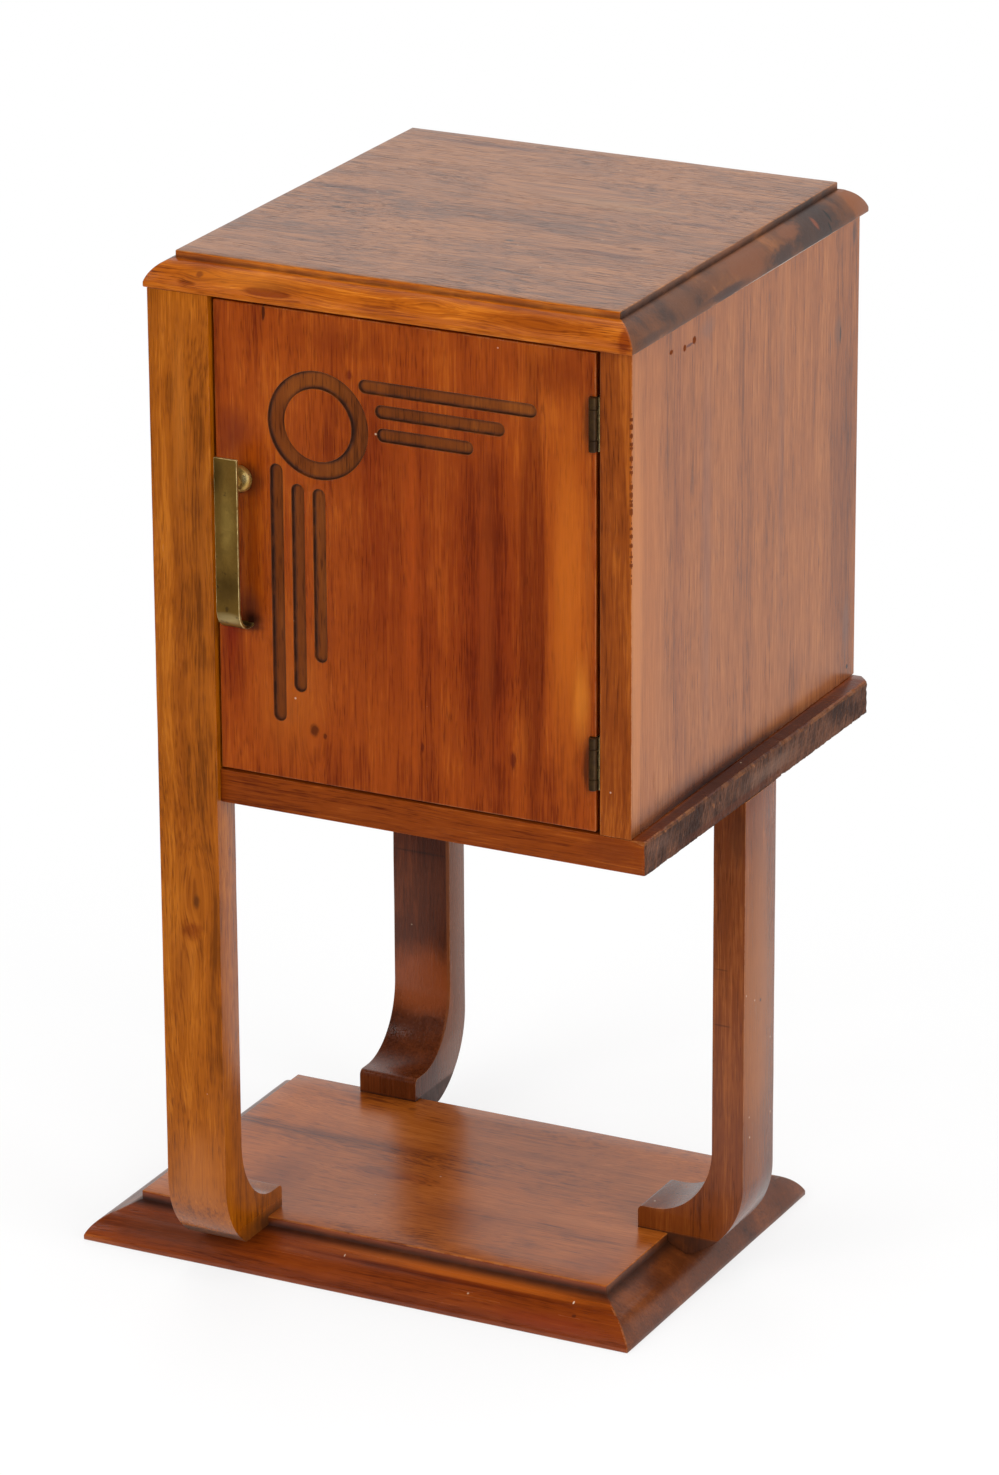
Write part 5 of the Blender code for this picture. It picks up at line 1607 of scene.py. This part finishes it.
@dataclass
class Door:
    """The slab door with its carved ring and flutes."""

    rounding: float = 0.8 * MM
    ring_from_corner: float = 78 * MM
    ring_outer: float = 37.5 * MM
    ring_inner: float = 25.6 * MM
    depth: float = 2.4 * MM
    flare: float = 0.5 * MM
    floor_reach: float = 2.6 * MM
    dish: float = 0.12 * MM
    flute_width: float = 9 * MM
    flute_pitch: float = 16 * MM
    flute_gap: float = 7 * MM
    across_shares: tuple[float, ...] = (0.562, 0.675, 0.789)
    down_shares: tuple[float, ...] = (0.656, 0.748, 0.839)
    barrel_clear: float = 3.05 * MM
    barrel_step: float = 3.35 * MM
    tang_half: float = 4 * MM
    tang_thick: float = 2.2 * MM
    over: float = 2 * MM
    flat_above: float = 300 * MM * MM
    finish: Timber = Timber(
        "door_face", dark=(108, 38, 4), middle=(138, 57, 4), light=(160, 76, 8), grain=Grain.UP, seed=41.0,
        bands=34.0, contrast=0.95, streaks=0.9, pores=0.6, wander=0.012, gloss=0.24, gloss_change=0.1,
        rub=0.2, specks=0.01, eyes=(Eye((-22, -176, 429), (20, 30, 40), 0.7),), patches=(
            Patch((168, -176, 560), (19, 20, 200), (196, 102, 16), 0.5, 0.95, 0.6),
            Patch((184, -176, 560), (4, 20, 190), (150, 74, 14), 0.5, 0.8, 0.5),
            Shade((0, -176, 706), (60, 20, 18), (220, 206, 200), 0.8, 0.9, 0.5),
            # Painted shade: a soft dark band down the door's left edge and round the handle.
            Shade((-84, -176, 520), (12, 20, 110), (186, 96, 76), 0.9, 0.9, 0.5),
            Patch((-40, -176, 450), (40, 20, 70), (168, 86, 16), 0.4, 0.9),
            Shade((112, -176, 500), (40, 20, 190), (210, 172, 152), 0.8, 1.0, 0.5),
            Shade((26, -176, 600), (20, 20, 160), (222, 196, 186), 0.8, 1.0, 0.5),
            Patch((53, -176, 560), (9, 20, 190), (190, 88, 10), 0.3, 0.9, 0.4),
            Patch((108, -176, 540), (10, 20, 190), (156, 70, 12), 0.4, 0.9, 0.4),
            Shade((143, -176, 550), (12, 20, 190), (208, 190, 188), 1.0, 0.4, 0.2),
            Shade((160, -176, 706), (46, 20, 30), (212, 194, 188), 0.9, 0.9, 0.3),
            Patch((178, -176, 482), (9, 20, 44), (210, 124, 30), 0.45, 0.9, 0.4),
            # Painted shadow under the strap's bend, with soiling in the corner.
            Patch((-70, -176, 509), (12, 20, 21), (86, 38, 24), 0.75, 0.9, 0.3),
            Patch((-68.5, -176, 501), (11, 20, 10), (34, 14, 9), 0.9, 0.9, 0.3),
            Patch((-72, -176, 496), (16, 20, 4), (60, 26, 12), 0.6, 0.8, 0.3),
            Patch((184, -176, 437), (6, 20, 24), (64, 26, 8), 0.75, 0.6, 0.7),
            Patch((184, -176, 676), (6, 20, 24), (74, 32, 10), 0.65, 0.7, 0.7),
            # Painted shadow and soiling round the rose.
            Patch((-70, -176, 600), (15, 20, 15), (60, 22, 10), 0.7, 0.7, 0.3),
            Patch((-80, -176, 634), (17, 20, 26), (96, 32, 16), 0.6, 0.9, 0.5),
            Shade((70, -176, 560), (84, 20, 180), (232, 214, 206), 1.0, 0.8, 0.3),
            Patch((-22, -176, 429), (4.5, 20, 6), (56, 20, 6), 0.75, 0.6),
            Patch((-14, -176, 426), (2, 20, 3), (56, 20, 6), 0.7, 0.6),
            Patch((-56, -176, 719), (1.6, 20, 8), (48, 18, 6), 0.85, 0.5),
            Patch((60, -176, 430), (1.6, 20, 5), (70, 20, 8), 0.7, 0.6),
            Patch((128, -176, 432), (3, 20, 8), (80, 22, 8), 0.7, 0.6),
            Patch((8, -176, 684), (3, 20, 5), (90, 26, 10), 0.7, 0.7)))
    # The carving's darkening paints shade on the groove walls that face away from the light, with some soiling.
    carved: Timber = Timber(
        "door_carving", dark=(76, 34, 4), middle=(120, 58, 5), light=(142, 74, 9), grain=Grain.UP,
        seed=41.0, bands=46.0, contrast=0.6, pores=1.0, wander=0.012, gloss=0.30, rub=0.1, dirt_and_shade=0.9,
        uneven=0.5, grime_and_shade=(38, 18, 10), patches=(
            Shade((-40, -174, 520), (46, 12, 160), (214, 196, 190), 0.5, 0.2, 0.1),
            Shade((76, -174, 652), (90, 12, 36), (226, 210, 204), 0.4, 0.2, 0.1)))

    def build(self) -> None:
        """Shape the slab, carve it and let in the hinges."""
        low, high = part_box("door_panel")
        ring = Vector((low.x + self.ring_from_corner, low.y, high.z - self.ring_from_corner))
        work = Workpiece("door_panel_dressed").block(low, high)
        work.soften(self.rounding, 3, 60.0)
        work.subtract([*self.grooves(low, high, ring), *self.recesses(low, high)])
        self.mark_grooves(work, low)
        work.deliver((self.finish, self.carved), ("door_panel",), 32.0, self.flat_above)

    def grooves(self, low: Vector, high: Vector, ring: Vector) -> list[Workpiece]:
        """Shape the cutters of the ring and of the flutes, with eased lips and rounded floors.

        Args:
            low, high: the door's lowest and highest corners.
            ring: the middle of the ring on the door's face.

        Returns:
            The cutters.
        """
        lips = [(self.flare, -1 * MM), (self.flare, 0.0), (self.flare * 0.35, self.flare * 0.3),
                (0.0, self.flare), (0.0, self.depth - self.flare * 1.6),
                (-self.flare * 0.45, self.depth - self.flare * 0.5), (-self.flare * 1.4, self.depth),
                (-self.floor_reach, self.depth + self.dish)]
        outer = [(self.ring_outer + wide, deep) for wide, deep in lips]
        inner = [(self.ring_inner - wide, deep) for wide, deep in reversed(lips)]
        tools = [Workpiece("ring_cutter").lathe([*outer, *inner, outer[0]], ring, Vector((0, 1, 0)), 96)]
        for count, shares in enumerate(zip(self.across_shares, self.down_shares)):
            offset = count * self.flute_pitch
            chord = max(self.ring_outer ** 2 - offset ** 2, (self.ring_outer / 2) ** 2)
            start = math.sqrt(chord) + self.flute_gap * (1 + count / 3)
            for way, share, length in zip(("across", "down"), shares, (high.x - ring.x, ring.z - low.z)):
                tools.append(self.flute(f"flute_{way}_{count}", ring, start, share * length, offset, lips))
        for tool in tools:
            for face in tool.bm.faces:
                face.material_index = 1
        return tools

    def flute(self, name: str, ring: Vector, start: float, end: float, offset: float,
              lips: Profile) -> Workpiece:
        """Shape the cutter of one long slot, ring by ring from its mouth to its floor.

        Args:
            name: the cutter's name, which says whether the slot runs across or down.
            ring: the middle of the ring on the door's face.
            start, end: how far from there the slot starts and ends.
            offset: how far it lies beside the line through there.
            lips: the section of its side as width and depth.

        Returns:
            The cutter.
        """
        work = Workpiece(name)
        radius = self.flute_width / 2 + lips[0][0]
        near, far = start + self.flute_width / 2, end - self.flute_width / 2
        shape = [*arc((far, offset), radius, radius, -90, 90, 14),
                 *arc((near, offset), radius, radius, 90, 270, 14)]
        if "down" in name:
            shape = [(-rise, -along) for along, rise in shape]
        outside = lips[0][1]
        work.plate([Vector((ring.x + along, ring.y + outside, ring.z + rise)) for along, rise in shape],
                   Vector((0, lips[1][1] - outside, 0)))
        floor = max(work.bm.faces, key=lambda face: face.calc_center_median().y)
        for (wide, deep), (next_wide, next_deep) in zip(lips[1:], lips[2:]):
            bmesh.ops.inset_region(work.bm, faces=[floor], thickness=max(MERGE, wide - next_wide),
                                   depth=next_deep - deep, use_even_offset=True)
        return work

    def recesses(self, low: Vector, high: Vector) -> list[Workpiece]:
        """Shape the cuts for the hinge barrels, the hinge leaves and the strap's tang.

        Args:
            low, high: the door's lowest and highest corners.

        Returns:
            The cutters.
        """
        tools = []
        step = HINGE_AXIS.y + self.barrel_step
        for name in ("lower", "upper"):
            leaf_low, leaf_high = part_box(name + "_hinge_door_leaf")
            bottom, top = leaf_low.z - FIT, leaf_high.z + FIT
            tools.append(Workpiece(name + "_barrel_notch").block(
                Vector((HINGE_AXIS.x - self.barrel_clear, low.y - self.over, bottom)),
                Vector((high.x + self.over, step, top))))
            tools.append(Workpiece(name + "_leaf_mortise").block(
                Vector((HINGE_AXIS.x - FIT, step - self.over, bottom)),
                Vector((high.x + self.over, leaf_high.y + FIT, top))))
        strap_low, strap_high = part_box("handle_strap")
        middle, half = (strap_low.x + strap_high.x) / 2, self.tang_half + FIT
        tools.append(Workpiece("tang_slot").block(
            Vector((middle - half, low.y - self.over, strap_low.z - FIT)),
            Vector((middle + half, strap_high.y + FIT, strap_low.z + self.tang_thick + FIT))))
        return tools

    def mark_grooves(self, work: Workpiece, low: Vector) -> None:
        """Darken the walls and corners of the grooves, thinning towards their lips: painted shade on walls that
        face away from the light, with some soiling.

        Args:
            work: the carved door.
            low: the door's lowest corner.
        """
        darkened_share = work.bm.verts.layers.float["grime_and_shade"]
        for vert in work.bm.verts:
            if any(face.material_index == 1 for face in vert.link_faces):
                depth = (vert.co.y - low.y) / self.depth
                vert[darkened_share] = 1.0 if 0.1 < depth < 0.95 else 0.6 if 0.95 < depth < 1.02 else 0.2


@dataclass
class StrapHandle:
    """The flat brass strap and its post with a domed rose, which a screw from behind holds."""

    thickness: float = 2.2 * MM
    bend: float = 15 * MM
    rounding: float = 0.4 * MM
    slice_pitch: float = 6 * MM
    waver: float = 0.07 * MM
    waver_size: float = 12 * MM
    tang_half: float = 4 * MM
    neck: float = 4 * MM
    cove: float = 0.6 * MM
    rose: float = 9.5 * MM
    rose_height: float = 7.5 * MM
    rose_edge: float = 0.8 * MM
    ease: float = 0.3 * MM
    finish: Brass = Brass(
        "strap_brass", base=(170, 132, 66), dull=(118, 86, 28), patches=(
            # Painted reflections and shade down the strap: darker at the top left, lighter in the middle, a
            # highlight on the bend and shade below it.
            Patch((-85, -196, 608), (10, 14, 28), (78, 56, 18), 0.75, 0.9),
            Patch((-75, -196, 574), (8, 14, 34), (190, 156, 78), 0.5, 0.9),
            Patch((-76, -196, 528), (18, 14, 20), (84, 60, 20), 0.7, 0.9),
            Patch((-76, -195, 507), (16, 8, 5.5), (206, 180, 124), 0.65, 0.8, 0.3),
            Patch((-76, -186, 497.5), (18, 10, 4), (54, 38, 18), 0.85, 0.6, 0.3)),
        # Painted shade under the bend, laid over the bright edges.
        shades_over_edges=(Patch((-74, -182, 501), (22, 8.5, 5), (46, 30, 16), 0.95, 0.5, 0.2),))
    rose_finish: Brass = Brass(
        "rose_brass", base=(214, 172, 92), dull=(150, 112, 48), tarnish=0.35, metallic_loss=0.6,
        spots=0.0, relief=0.004, mottle=0.15, patches=(
            # Painted shadow of the strap on the rose's left side, and a painted highlight on its right.
            Patch((-83, -184, 597), (8, 14, 12), (74, 52, 20), 0.8, 0.8),
            Patch((-69, -182, 603), (3, 12, 5), (250, 226, 160), 0.7, 0.9)))

    def build(self) -> None:
        """Bend the strap and turn the rose."""
        low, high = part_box("handle_strap")
        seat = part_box("door_panel")[0].y - FIT
        self.bend_strap(low, high, seat)
        low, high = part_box("handle_post")
        self.turn_post(Vector(((low.x + high.x) / 2, high.y, (low.z + high.z) / 2)), high.y - low.y)

    def bend_strap(self, low: Vector, high: Vector, seat: float) -> None:
        """Bend the strap back to the door and set its tang.

        Args:
            low, high: the strap's lowest and highest corners.
            seat: where its lower end meets the door.
        """
        outer, inner = self.bend, self.bend - self.thickness
        middle = (low.y + self.bend, low.z + self.bend)
        side = [(low.y, high.z), *arc(middle, outer, outer, 180, 270), (seat, low.z),
                (seat, low.z + self.thickness), *arc(middle, inner, inner, 270, 180),
                (low.y + self.thickness, high.z)]
        work = Workpiece("handle_strap_dressed")
        work.plate([Vector((low.x, y, z)) for y, z in side], Vector((high.x - low.x, 0, 0)))
        work.soften(self.rounding, 3, 30.0)
        work.slice(2, self.slice_pitch)
        work.waver(self.waver, self.waver_size, 6.0)
        centre = (low.x + high.x) / 2
        work.block(Vector((centre - self.tang_half, seat + 0.02 * MM, low.z)),
                   Vector((centre + self.tang_half, high.y, low.z + self.thickness)))
        work.deliver((self.finish,), ("handle_strap",), 35.0)

    def turn_post(self, place: Vector, length: float) -> None:
        """Turn the neck with its domed rose.

        Args:
            place: the middle of the rose's seat on the door.
            length: how far the post stands out.
        """
        dome = arc((0.0, self.rose_edge), self.rose, self.rose_height - self.rose_edge, 0, 60, 18)
        cove = arc((self.neck + self.cove, dome[-1][1] + self.cove), self.cove, self.cove, 270, 180, 5)
        profile = [(0.0, 0.0), (self.rose - self.ease, 0.0), (self.rose, self.ease), *dome, *cove,
                   (self.neck, length - self.ease), (self.neck - self.ease, length), (0.0, length)]
        work = Workpiece("handle_post_dressed").lathe(profile, place, Vector((0, -1, 0)), 64)
        work.deliver((self.rose_finish,), ("handle_post",), 35.0)


@dataclass
class ButtHinge:
    """One small brass butt hinge: two leaves, three knuckles and a pin."""

    name: str
    thickness: float = 1.2 * MM
    barrel: float = 2.75 * MM
    bore: float = 1.3 * MM
    pin: float = 1 * MM
    pin_cap: float = 0.35 * MM
    end_share: float = 0.21
    rounding: float = 0.25 * MM
    ease: float = 0.3 * MM
    frame_plate: float = 1.6 * MM
    door_plate: float = 3.4 * MM
    web_start: float = 1.6 * MM
    frame_web_end: float = 2.7 * MM
    door_web_end: float = 3.6 * MM
    web_gap: float = 0.05 * MM
    finish: Brass = Brass("hinge_brass", base=(118, 90, 52), dull=(58, 38, 20), tarnish=0.85)

    def build(self) -> None:
        """Make both leaves and the pin."""
        low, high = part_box(self.name + "_hinge_frame_leaf")
        knuckle = self.end_share * (high.z - low.z)
        left = high.x - self.thickness
        ends = ((low.z, low.z + knuckle), (high.z - knuckle, high.z))
        self.leaf("frame", left, self.frame_plate, (left + self.thickness * 0.5, self.frame_web_end), ends)
        low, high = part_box(self.name + "_hinge_door_leaf")
        left = HINGE_AXIS.x
        middle = ((low.z + knuckle + FIT, high.z - knuckle - FIT),)
        self.leaf("door", left, self.door_plate, (left + self.thickness, self.door_web_end), middle)
        low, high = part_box(self.name + "_hinge_pin")
        length = high.z - low.z
        profile = [(0.0, 0.0), (self.pin - self.pin_cap, 0.0), (self.pin, self.pin_cap),
                   (self.pin, length - self.pin_cap), (self.pin - self.pin_cap, length), (0.0, length)]
        work = Workpiece(self.name + "_hinge_pin_dressed")
        work.lathe(profile, Vector((HINGE_AXIS.x, HINGE_AXIS.y, low.z)), Vector((0, 0, 1)), 24)
        work.deliver((self.finish,), (self.name + "_hinge_pin",), 35.0)

    def leaf(self, side: str, left: float, plate_start: float, web_end: tuple[float, float],
             spans: Sequence[tuple[float, float]]) -> None:
        """Make one leaf: a plate, a web beside each knuckle and a bored barrel.

        Args:
            side: what the leaf is let into, frame or door.
            left: where its plate starts across.
            plate_start: how far behind the axis its plate starts.
            web_end: where its webs end across, and how far behind the axis.
            spans: where its knuckles start and end in height.
        """
        node = f"{self.name}_hinge_{side}_leaf"
        low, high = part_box(node)
        work = Workpiece(node + "_dressed")
        work.block(Vector((left, HINGE_AXIS.y + plate_start, low.z)),
                   Vector((left + self.thickness, high.y, high.z)))
        work.soften(self.rounding, 2, 60.0)
        for start, end in spans:
            work.block(Vector((HINGE_AXIS.x, HINGE_AXIS.y + self.web_start, start + self.web_gap)),
                       Vector((web_end[0], HINGE_AXIS.y + web_end[1], end - self.web_gap)))
            length = end - start
            profile = [(self.bore, 0.0), (self.barrel - self.ease, 0.0), (self.barrel, self.ease),
                       (self.barrel, length - self.ease), (self.barrel - self.ease, length),
                       (self.bore, length), (self.bore, 0.0)]
            work.lathe(profile, Vector((HINGE_AXIS.x, HINGE_AXIS.y, start)), Vector((0, 0, 1)), 40)
        work.deliver((self.finish,), (node,), 35.0)


@dataclass
class Fastenings:
    """Slotted screws and pins, each in the place of its plain stand-in; shares are of the head."""

    slot_depth: float = 0.35
    slot_width: float = 0.18
    slot_reach: float = 1.2
    crown: float = 0.92
    crown_fall: float = 0.06
    head_rise: float = 0.45
    screw_shank: float = 0.5
    pin_shank: float = 0.44
    thread_start: float = 0.24
    threaded: float = 0.62
    thread_pitch: float = 0.42
    thread_root: float = 0.78
    last_root: float = 0.6
    tip_start: float = 0.9
    finish: Brass = Brass("screw_brass", base=(150, 128, 78), dull=(92, 72, 36), tarnish=0.7)

    def build(self) -> None:
        """Make every screw and pin from its own box."""
        for node in frame["nodes"]:
            if node.endswith(("_screw", "_pin")) and not node.endswith("hinge_pin"):
                self.fasten(node, self.finish if "hinge" in node else Steel())

    def profile(self, head: float, length: float, threads: int, shank: float) -> Profile:
        """Draw a screw or pin from its head to its tip.

        Args:
            head: half the head's width.
            length: the whole length.
            threads: turns of the thread.
            shank: half the shank's width.

        Returns:
            Its points as radius and distance.
        """
        points = [(0.0, 0.0), (head * self.crown, 0.0), (head, head * self.crown_fall),
                  (shank, head * self.head_rise)]
        pitch = length * self.threaded / max(1, threads)
        for turn in range(threads):
            start = length * self.thread_start + turn * pitch
            root = self.thread_root if turn < threads - 1 else self.last_root
            points += [(shank * root, start), (shank, start + pitch * 0.5)]
        return [*points, (shank * self.last_root, length * self.tip_start), (0.0, length)]

    def fasten(self, node: str, finish: Finish) -> None:
        """Make one screw or pin, whose head is at the wide end of its stand-in.

        Args:
            node: the stand-in's CAD node.
            finish: the metal.
        """
        low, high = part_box(node)
        sizes = high - low
        axis = max(range(3), key=lambda side: sizes[side])
        points = [vert.co for vert in frame["nodes"][node].data.vertices]
        middle = (low + high) / 2

        def reach(end: float) -> float:
            """How wide the piece is at one end."""
            return max((Vector(point) - middle).cross(axis_way(axis)).length
                       for point in points if abs(point[axis] - end) < 0.01 * MM)
        widths = reach(low[axis]), reach(high[axis])
        head, head_at_low = max(widths), widths[0] > widths[1]
        place = middle.copy()
        place[axis] = low[axis] if head_at_low else high[axis]
        pin = node.endswith("_pin")
        shank = head * (self.pin_shank if pin else self.screw_shank)
        threads = 0 if pin else int(sizes[axis] * self.threaded / (head * self.thread_pitch))
        work = Workpiece(node + "_dressed")
        work.lathe(self.profile(head, sizes[axis], threads, shank), place,
                   axis_way(axis) * (1 if head_at_low else -1), 24)
        if not pin:
            across = Vector((1, 1, 1)) * (head * self.slot_reach)
            across[(axis + 1) % 3] = head * self.slot_width / 2
            across[axis] = head * self.slot_depth
            work.subtract([Workpiece("slot_tool").block(place - across, place + across)])
        work.deliver((finish,), (node,), 35.0)


@dataclass
class Catch:
    """The magnetic catch and its plate, with the rounding of each."""

    case: float = 0.6 * MM
    plate: float = 0.3 * MM
    shortest: float = 2.5 * MM

    def build(self) -> None:
        """Round copies of the catch's frames."""
        pieces = (("catch_case", Moulded(), self.case), ("catch_plate", Steel(), self.plate))
        for node, finish, width in pieces:
            work = Workpiece(node + "_dressed").copy_of(node)
            work.soften(width, 2, 60.0, lambda edge: edge.calc_length() > self.shortest)
            work.deliver((finish,), (node,), 35.0)


def dress_dowels() -> None:
    """Give the hidden dowels their own timber."""
    finish = Timber("dowel_timber", dark=(150, 112, 70), middle=(184, 146, 100), light=(206, 172, 128),
                    grain=Grain.UP, seed=51.0, gloss=0.6, rub=0.0, dirt_and_shade=0.0)
    for node, part in frame["nodes"].items():
        if "dowel" in node:
            part.data.materials.clear()
            part.data.materials.append(finish.material())
            log.info("%s: carried over", node)


@dataclass
class Studio:
    """The pale floor, the soft light and the camera at the photograph's angle."""

    stand: Place = (2.04596, -3.98997, 2.02877)
    azimuth: float = 26.815
    elevation: float = 20.315
    roll: float = -0.317
    focal_pixels: float = 6843.8
    picture_height: float = 1475.0
    sensor: float = 36.0
    farthest: float = 60.0
    aim: Place = (0.0, 0.0, 0.36)
    lamps: tuple[tuple[str, Place, tuple[float, float], float, bool], ...] = (
        ("front_softbox", (-1.1, -3.4, 2.0), (2.4, 1.8), 62.0, False),
        ("side_softbox", (3.4, -1.3, 1.9), (2.0, 1.8), 72.0, False),
        ("top_softbox", (0.2, 0.1, 3.6), (2.4, 2.4), 45.0, False),
        ("back_softbox", (-2.0, 3.0, 2.0), (2.2, 1.8), 24.0, False),
        ("glint_lamp", (-2.2, -1.4, 2.3), (0.4, 0.4), 4.0, True),
        ("right_glint", (1.9, -2.6, 2.9), (0.5, 0.5), 5.0, True))
    floor_size: float = 16.0
    floor_drop: float = 0.2 * MM
    floor_colour: Colour = (0.92, 0.92, 0.92, 1.0)
    white: Colour = (1.0, 1.0, 1.0, 1.0)
    fill: float = 0.46
    floor_shadow: float = 0.26
    shadow_near: float = 0.3
    shadow_far: float = 0.9
    dim: float = 0.015
    white_behind: float = 1.0
    white_floor: float = 0.85
    rightward: float = 0.5

    def build(self) -> None:
        """Set the floor, the world, the lamps, the camera and the view settings."""
        self.lay_floor()
        self.light_world()
        for name, place, size, power, mirrored in self.lamps:
            self.hang_lamp(name, place, size, power, mirrored)
        self.set_camera()
        bpy.context.scene.view_settings.view_transform = "Standard"

    def lay_floor(self) -> None:
        """Lay a wide pale floor that stays white to the camera and keeps a soft shadow."""
        bm = bmesh.new()
        bmesh.ops.create_grid(bm, x_segments=1, y_segments=1, size=self.floor_size / 2)
        bmesh.ops.translate(bm, verts=bm.verts, vec=(0, 0, -self.floor_drop))
        mesh = bpy.data.meshes.new("floor")
        bm.to_mesh(mesh)
        bm.free()
        floor = bpy.data.objects.new("floor", mesh)
        bpy.context.scene.collection.objects.link(floor)
        material = bpy.data.materials.new("pale_floor")
        material.use_nodes = True
        g = Graph(material.node_tree)
        g.tree.nodes.clear()
        path = g.node("ShaderNodeLightPath").outputs
        plain = g.node("ShaderNodeBsdfDiffuse", None, {"Color": self.floor_colour}).outputs[0]
        white = g.node("ShaderNodeEmission", None, {"Color": self.white, "Strength": 1.0}).outputs[0]
        place = g.node("ShaderNodeNewGeometry").outputs["Position"]
        shadow = g.step(g.length(place), self.shadow_near, self.shadow_far, self.floor_shadow, 0.0)
        seen = g.node("ShaderNodeMixShader", None, {0: shadow, 1: white, 2: plain}).outputs[0]
        behind = g.step(self.away(g, place), -0.65, -0.25, self.dim, self.white_floor)
        mirrored = g.node("ShaderNodeEmission", None, {"Strength": behind}).outputs[0]
        glossy = g.math("MAXIMUM", path["Is Glossy Ray"], path["Is Transmission Ray"])
        shader = g.node("ShaderNodeMixShader", None, {0: path["Is Camera Ray"], 1: plain, 2: seen})
        shader = g.node("ShaderNodeMixShader", None, {0: glossy, 1: shader.outputs[0], 2: mirrored})
        g.node("ShaderNodeOutputMaterial", None, {"Surface": shader.outputs[0]})
        floor.data.materials.append(material)

    def away(self, g: Graph, place: Wire) -> Wire:
        """How far a place or a direction lies behind the dark side, where the camera stands."""
        parts = g.node("ShaderNodeSeparateXYZ", None, {0: place}).outputs
        return g.math("MULTIPLY_ADD", parts["X"], self.rightward, parts["Y"])

    def light_world(self) -> None:
        """Set white behind the object, dimmer where the camera stands, and a plain level of fill."""
        world = bpy.data.worlds.new("studio")
        world.use_nodes = True
        bpy.context.scene.world = world
        g = Graph(world.node_tree)
        background = world.node_tree.nodes["Background"]
        path = g.node("ShaderNodeLightPath").outputs
        way = g.node("ShaderNodeTexCoord").outputs["Generated"]
        mirrored = g.step(self.away(g, way), -0.25, 0.4, self.dim, self.white_behind)
        glossy = g.math("MAXIMUM", path["Is Glossy Ray"], path["Is Transmission Ray"])
        strength = g.math("MULTIPLY_ADD", glossy, g.math("SUBTRACT", mirrored, self.fill), self.fill)
        g.feed(background.inputs["Strength"], g.math("MAXIMUM", strength, path["Is Camera Ray"]))
        g.feed(background.inputs["Color"], self.white)

    def hang_lamp(self, name: str, place: Place, size: tuple[float, float], power: float,
                  mirrored: bool) -> None:
        """Hang one soft lamp, aimed at the cabinet.

        Args:
            name: the lamp's name.
            place: where it hangs.
            size: its width and height.
            power: its strength in watts.
            mirrored: whether it is seen in the varnish and the brass.
        """
        light = bpy.data.lights.new(name, "AREA")
        light.shape = "RECTANGLE"
        light.size, light.size_y = size
        light.energy = power
        lamp = bpy.data.objects.new(name, light)
        lamp.location = place
        lamp.visible_glossy = mirrored
        lamp.rotation_euler = (Vector(self.aim) - Vector(place)).to_track_quat("-Z", "Y").to_euler()
        bpy.context.scene.collection.objects.link(lamp)

    def set_camera(self) -> None:
        """Stand the camera where the photograph was taken."""
        azimuth, elevation = math.radians(self.azimuth), math.radians(self.elevation)
        back = Vector((math.sin(azimuth) * math.cos(elevation), -math.cos(azimuth) * math.cos(elevation),
                       math.sin(elevation)))
        data = bpy.data.cameras.new("photo_camera")
        data.sensor_width = self.sensor
        data.lens = self.focal_pixels * self.sensor / self.picture_height
        data.clip_end = self.farthest
        camera = bpy.data.objects.new("photo_camera", data)
        turn = back.to_track_quat("Z", "Y").to_matrix().to_4x4()
        spin = Matrix.Rotation(math.radians(self.roll), 4, "Z")
        camera.matrix_world = Matrix.Translation(self.stand) @ turn @ spin
        bpy.context.scene.collection.objects.link(camera)
        bpy.context.scene.camera = camera


def main() -> None:
    """Build the whole dressed cabinet."""
    logging.basicConfig(level=logging.INFO, format="%(name)s: %(message)s")
    noise.seed_set(NOISE_SEED)
    panels = Panels()
    parts = (Studio(), top_board(), base_board(), BottomBoard(), *legs(), HingePost(panels.right_finish()),
             panels, Door(), StrapHandle(), ButtHinge("lower"), ButtHinge("upper"), Fastenings(), Catch())
    for part in parts:
        part.build()
    dress_dowels()


if __name__ == "__main__":
    main()
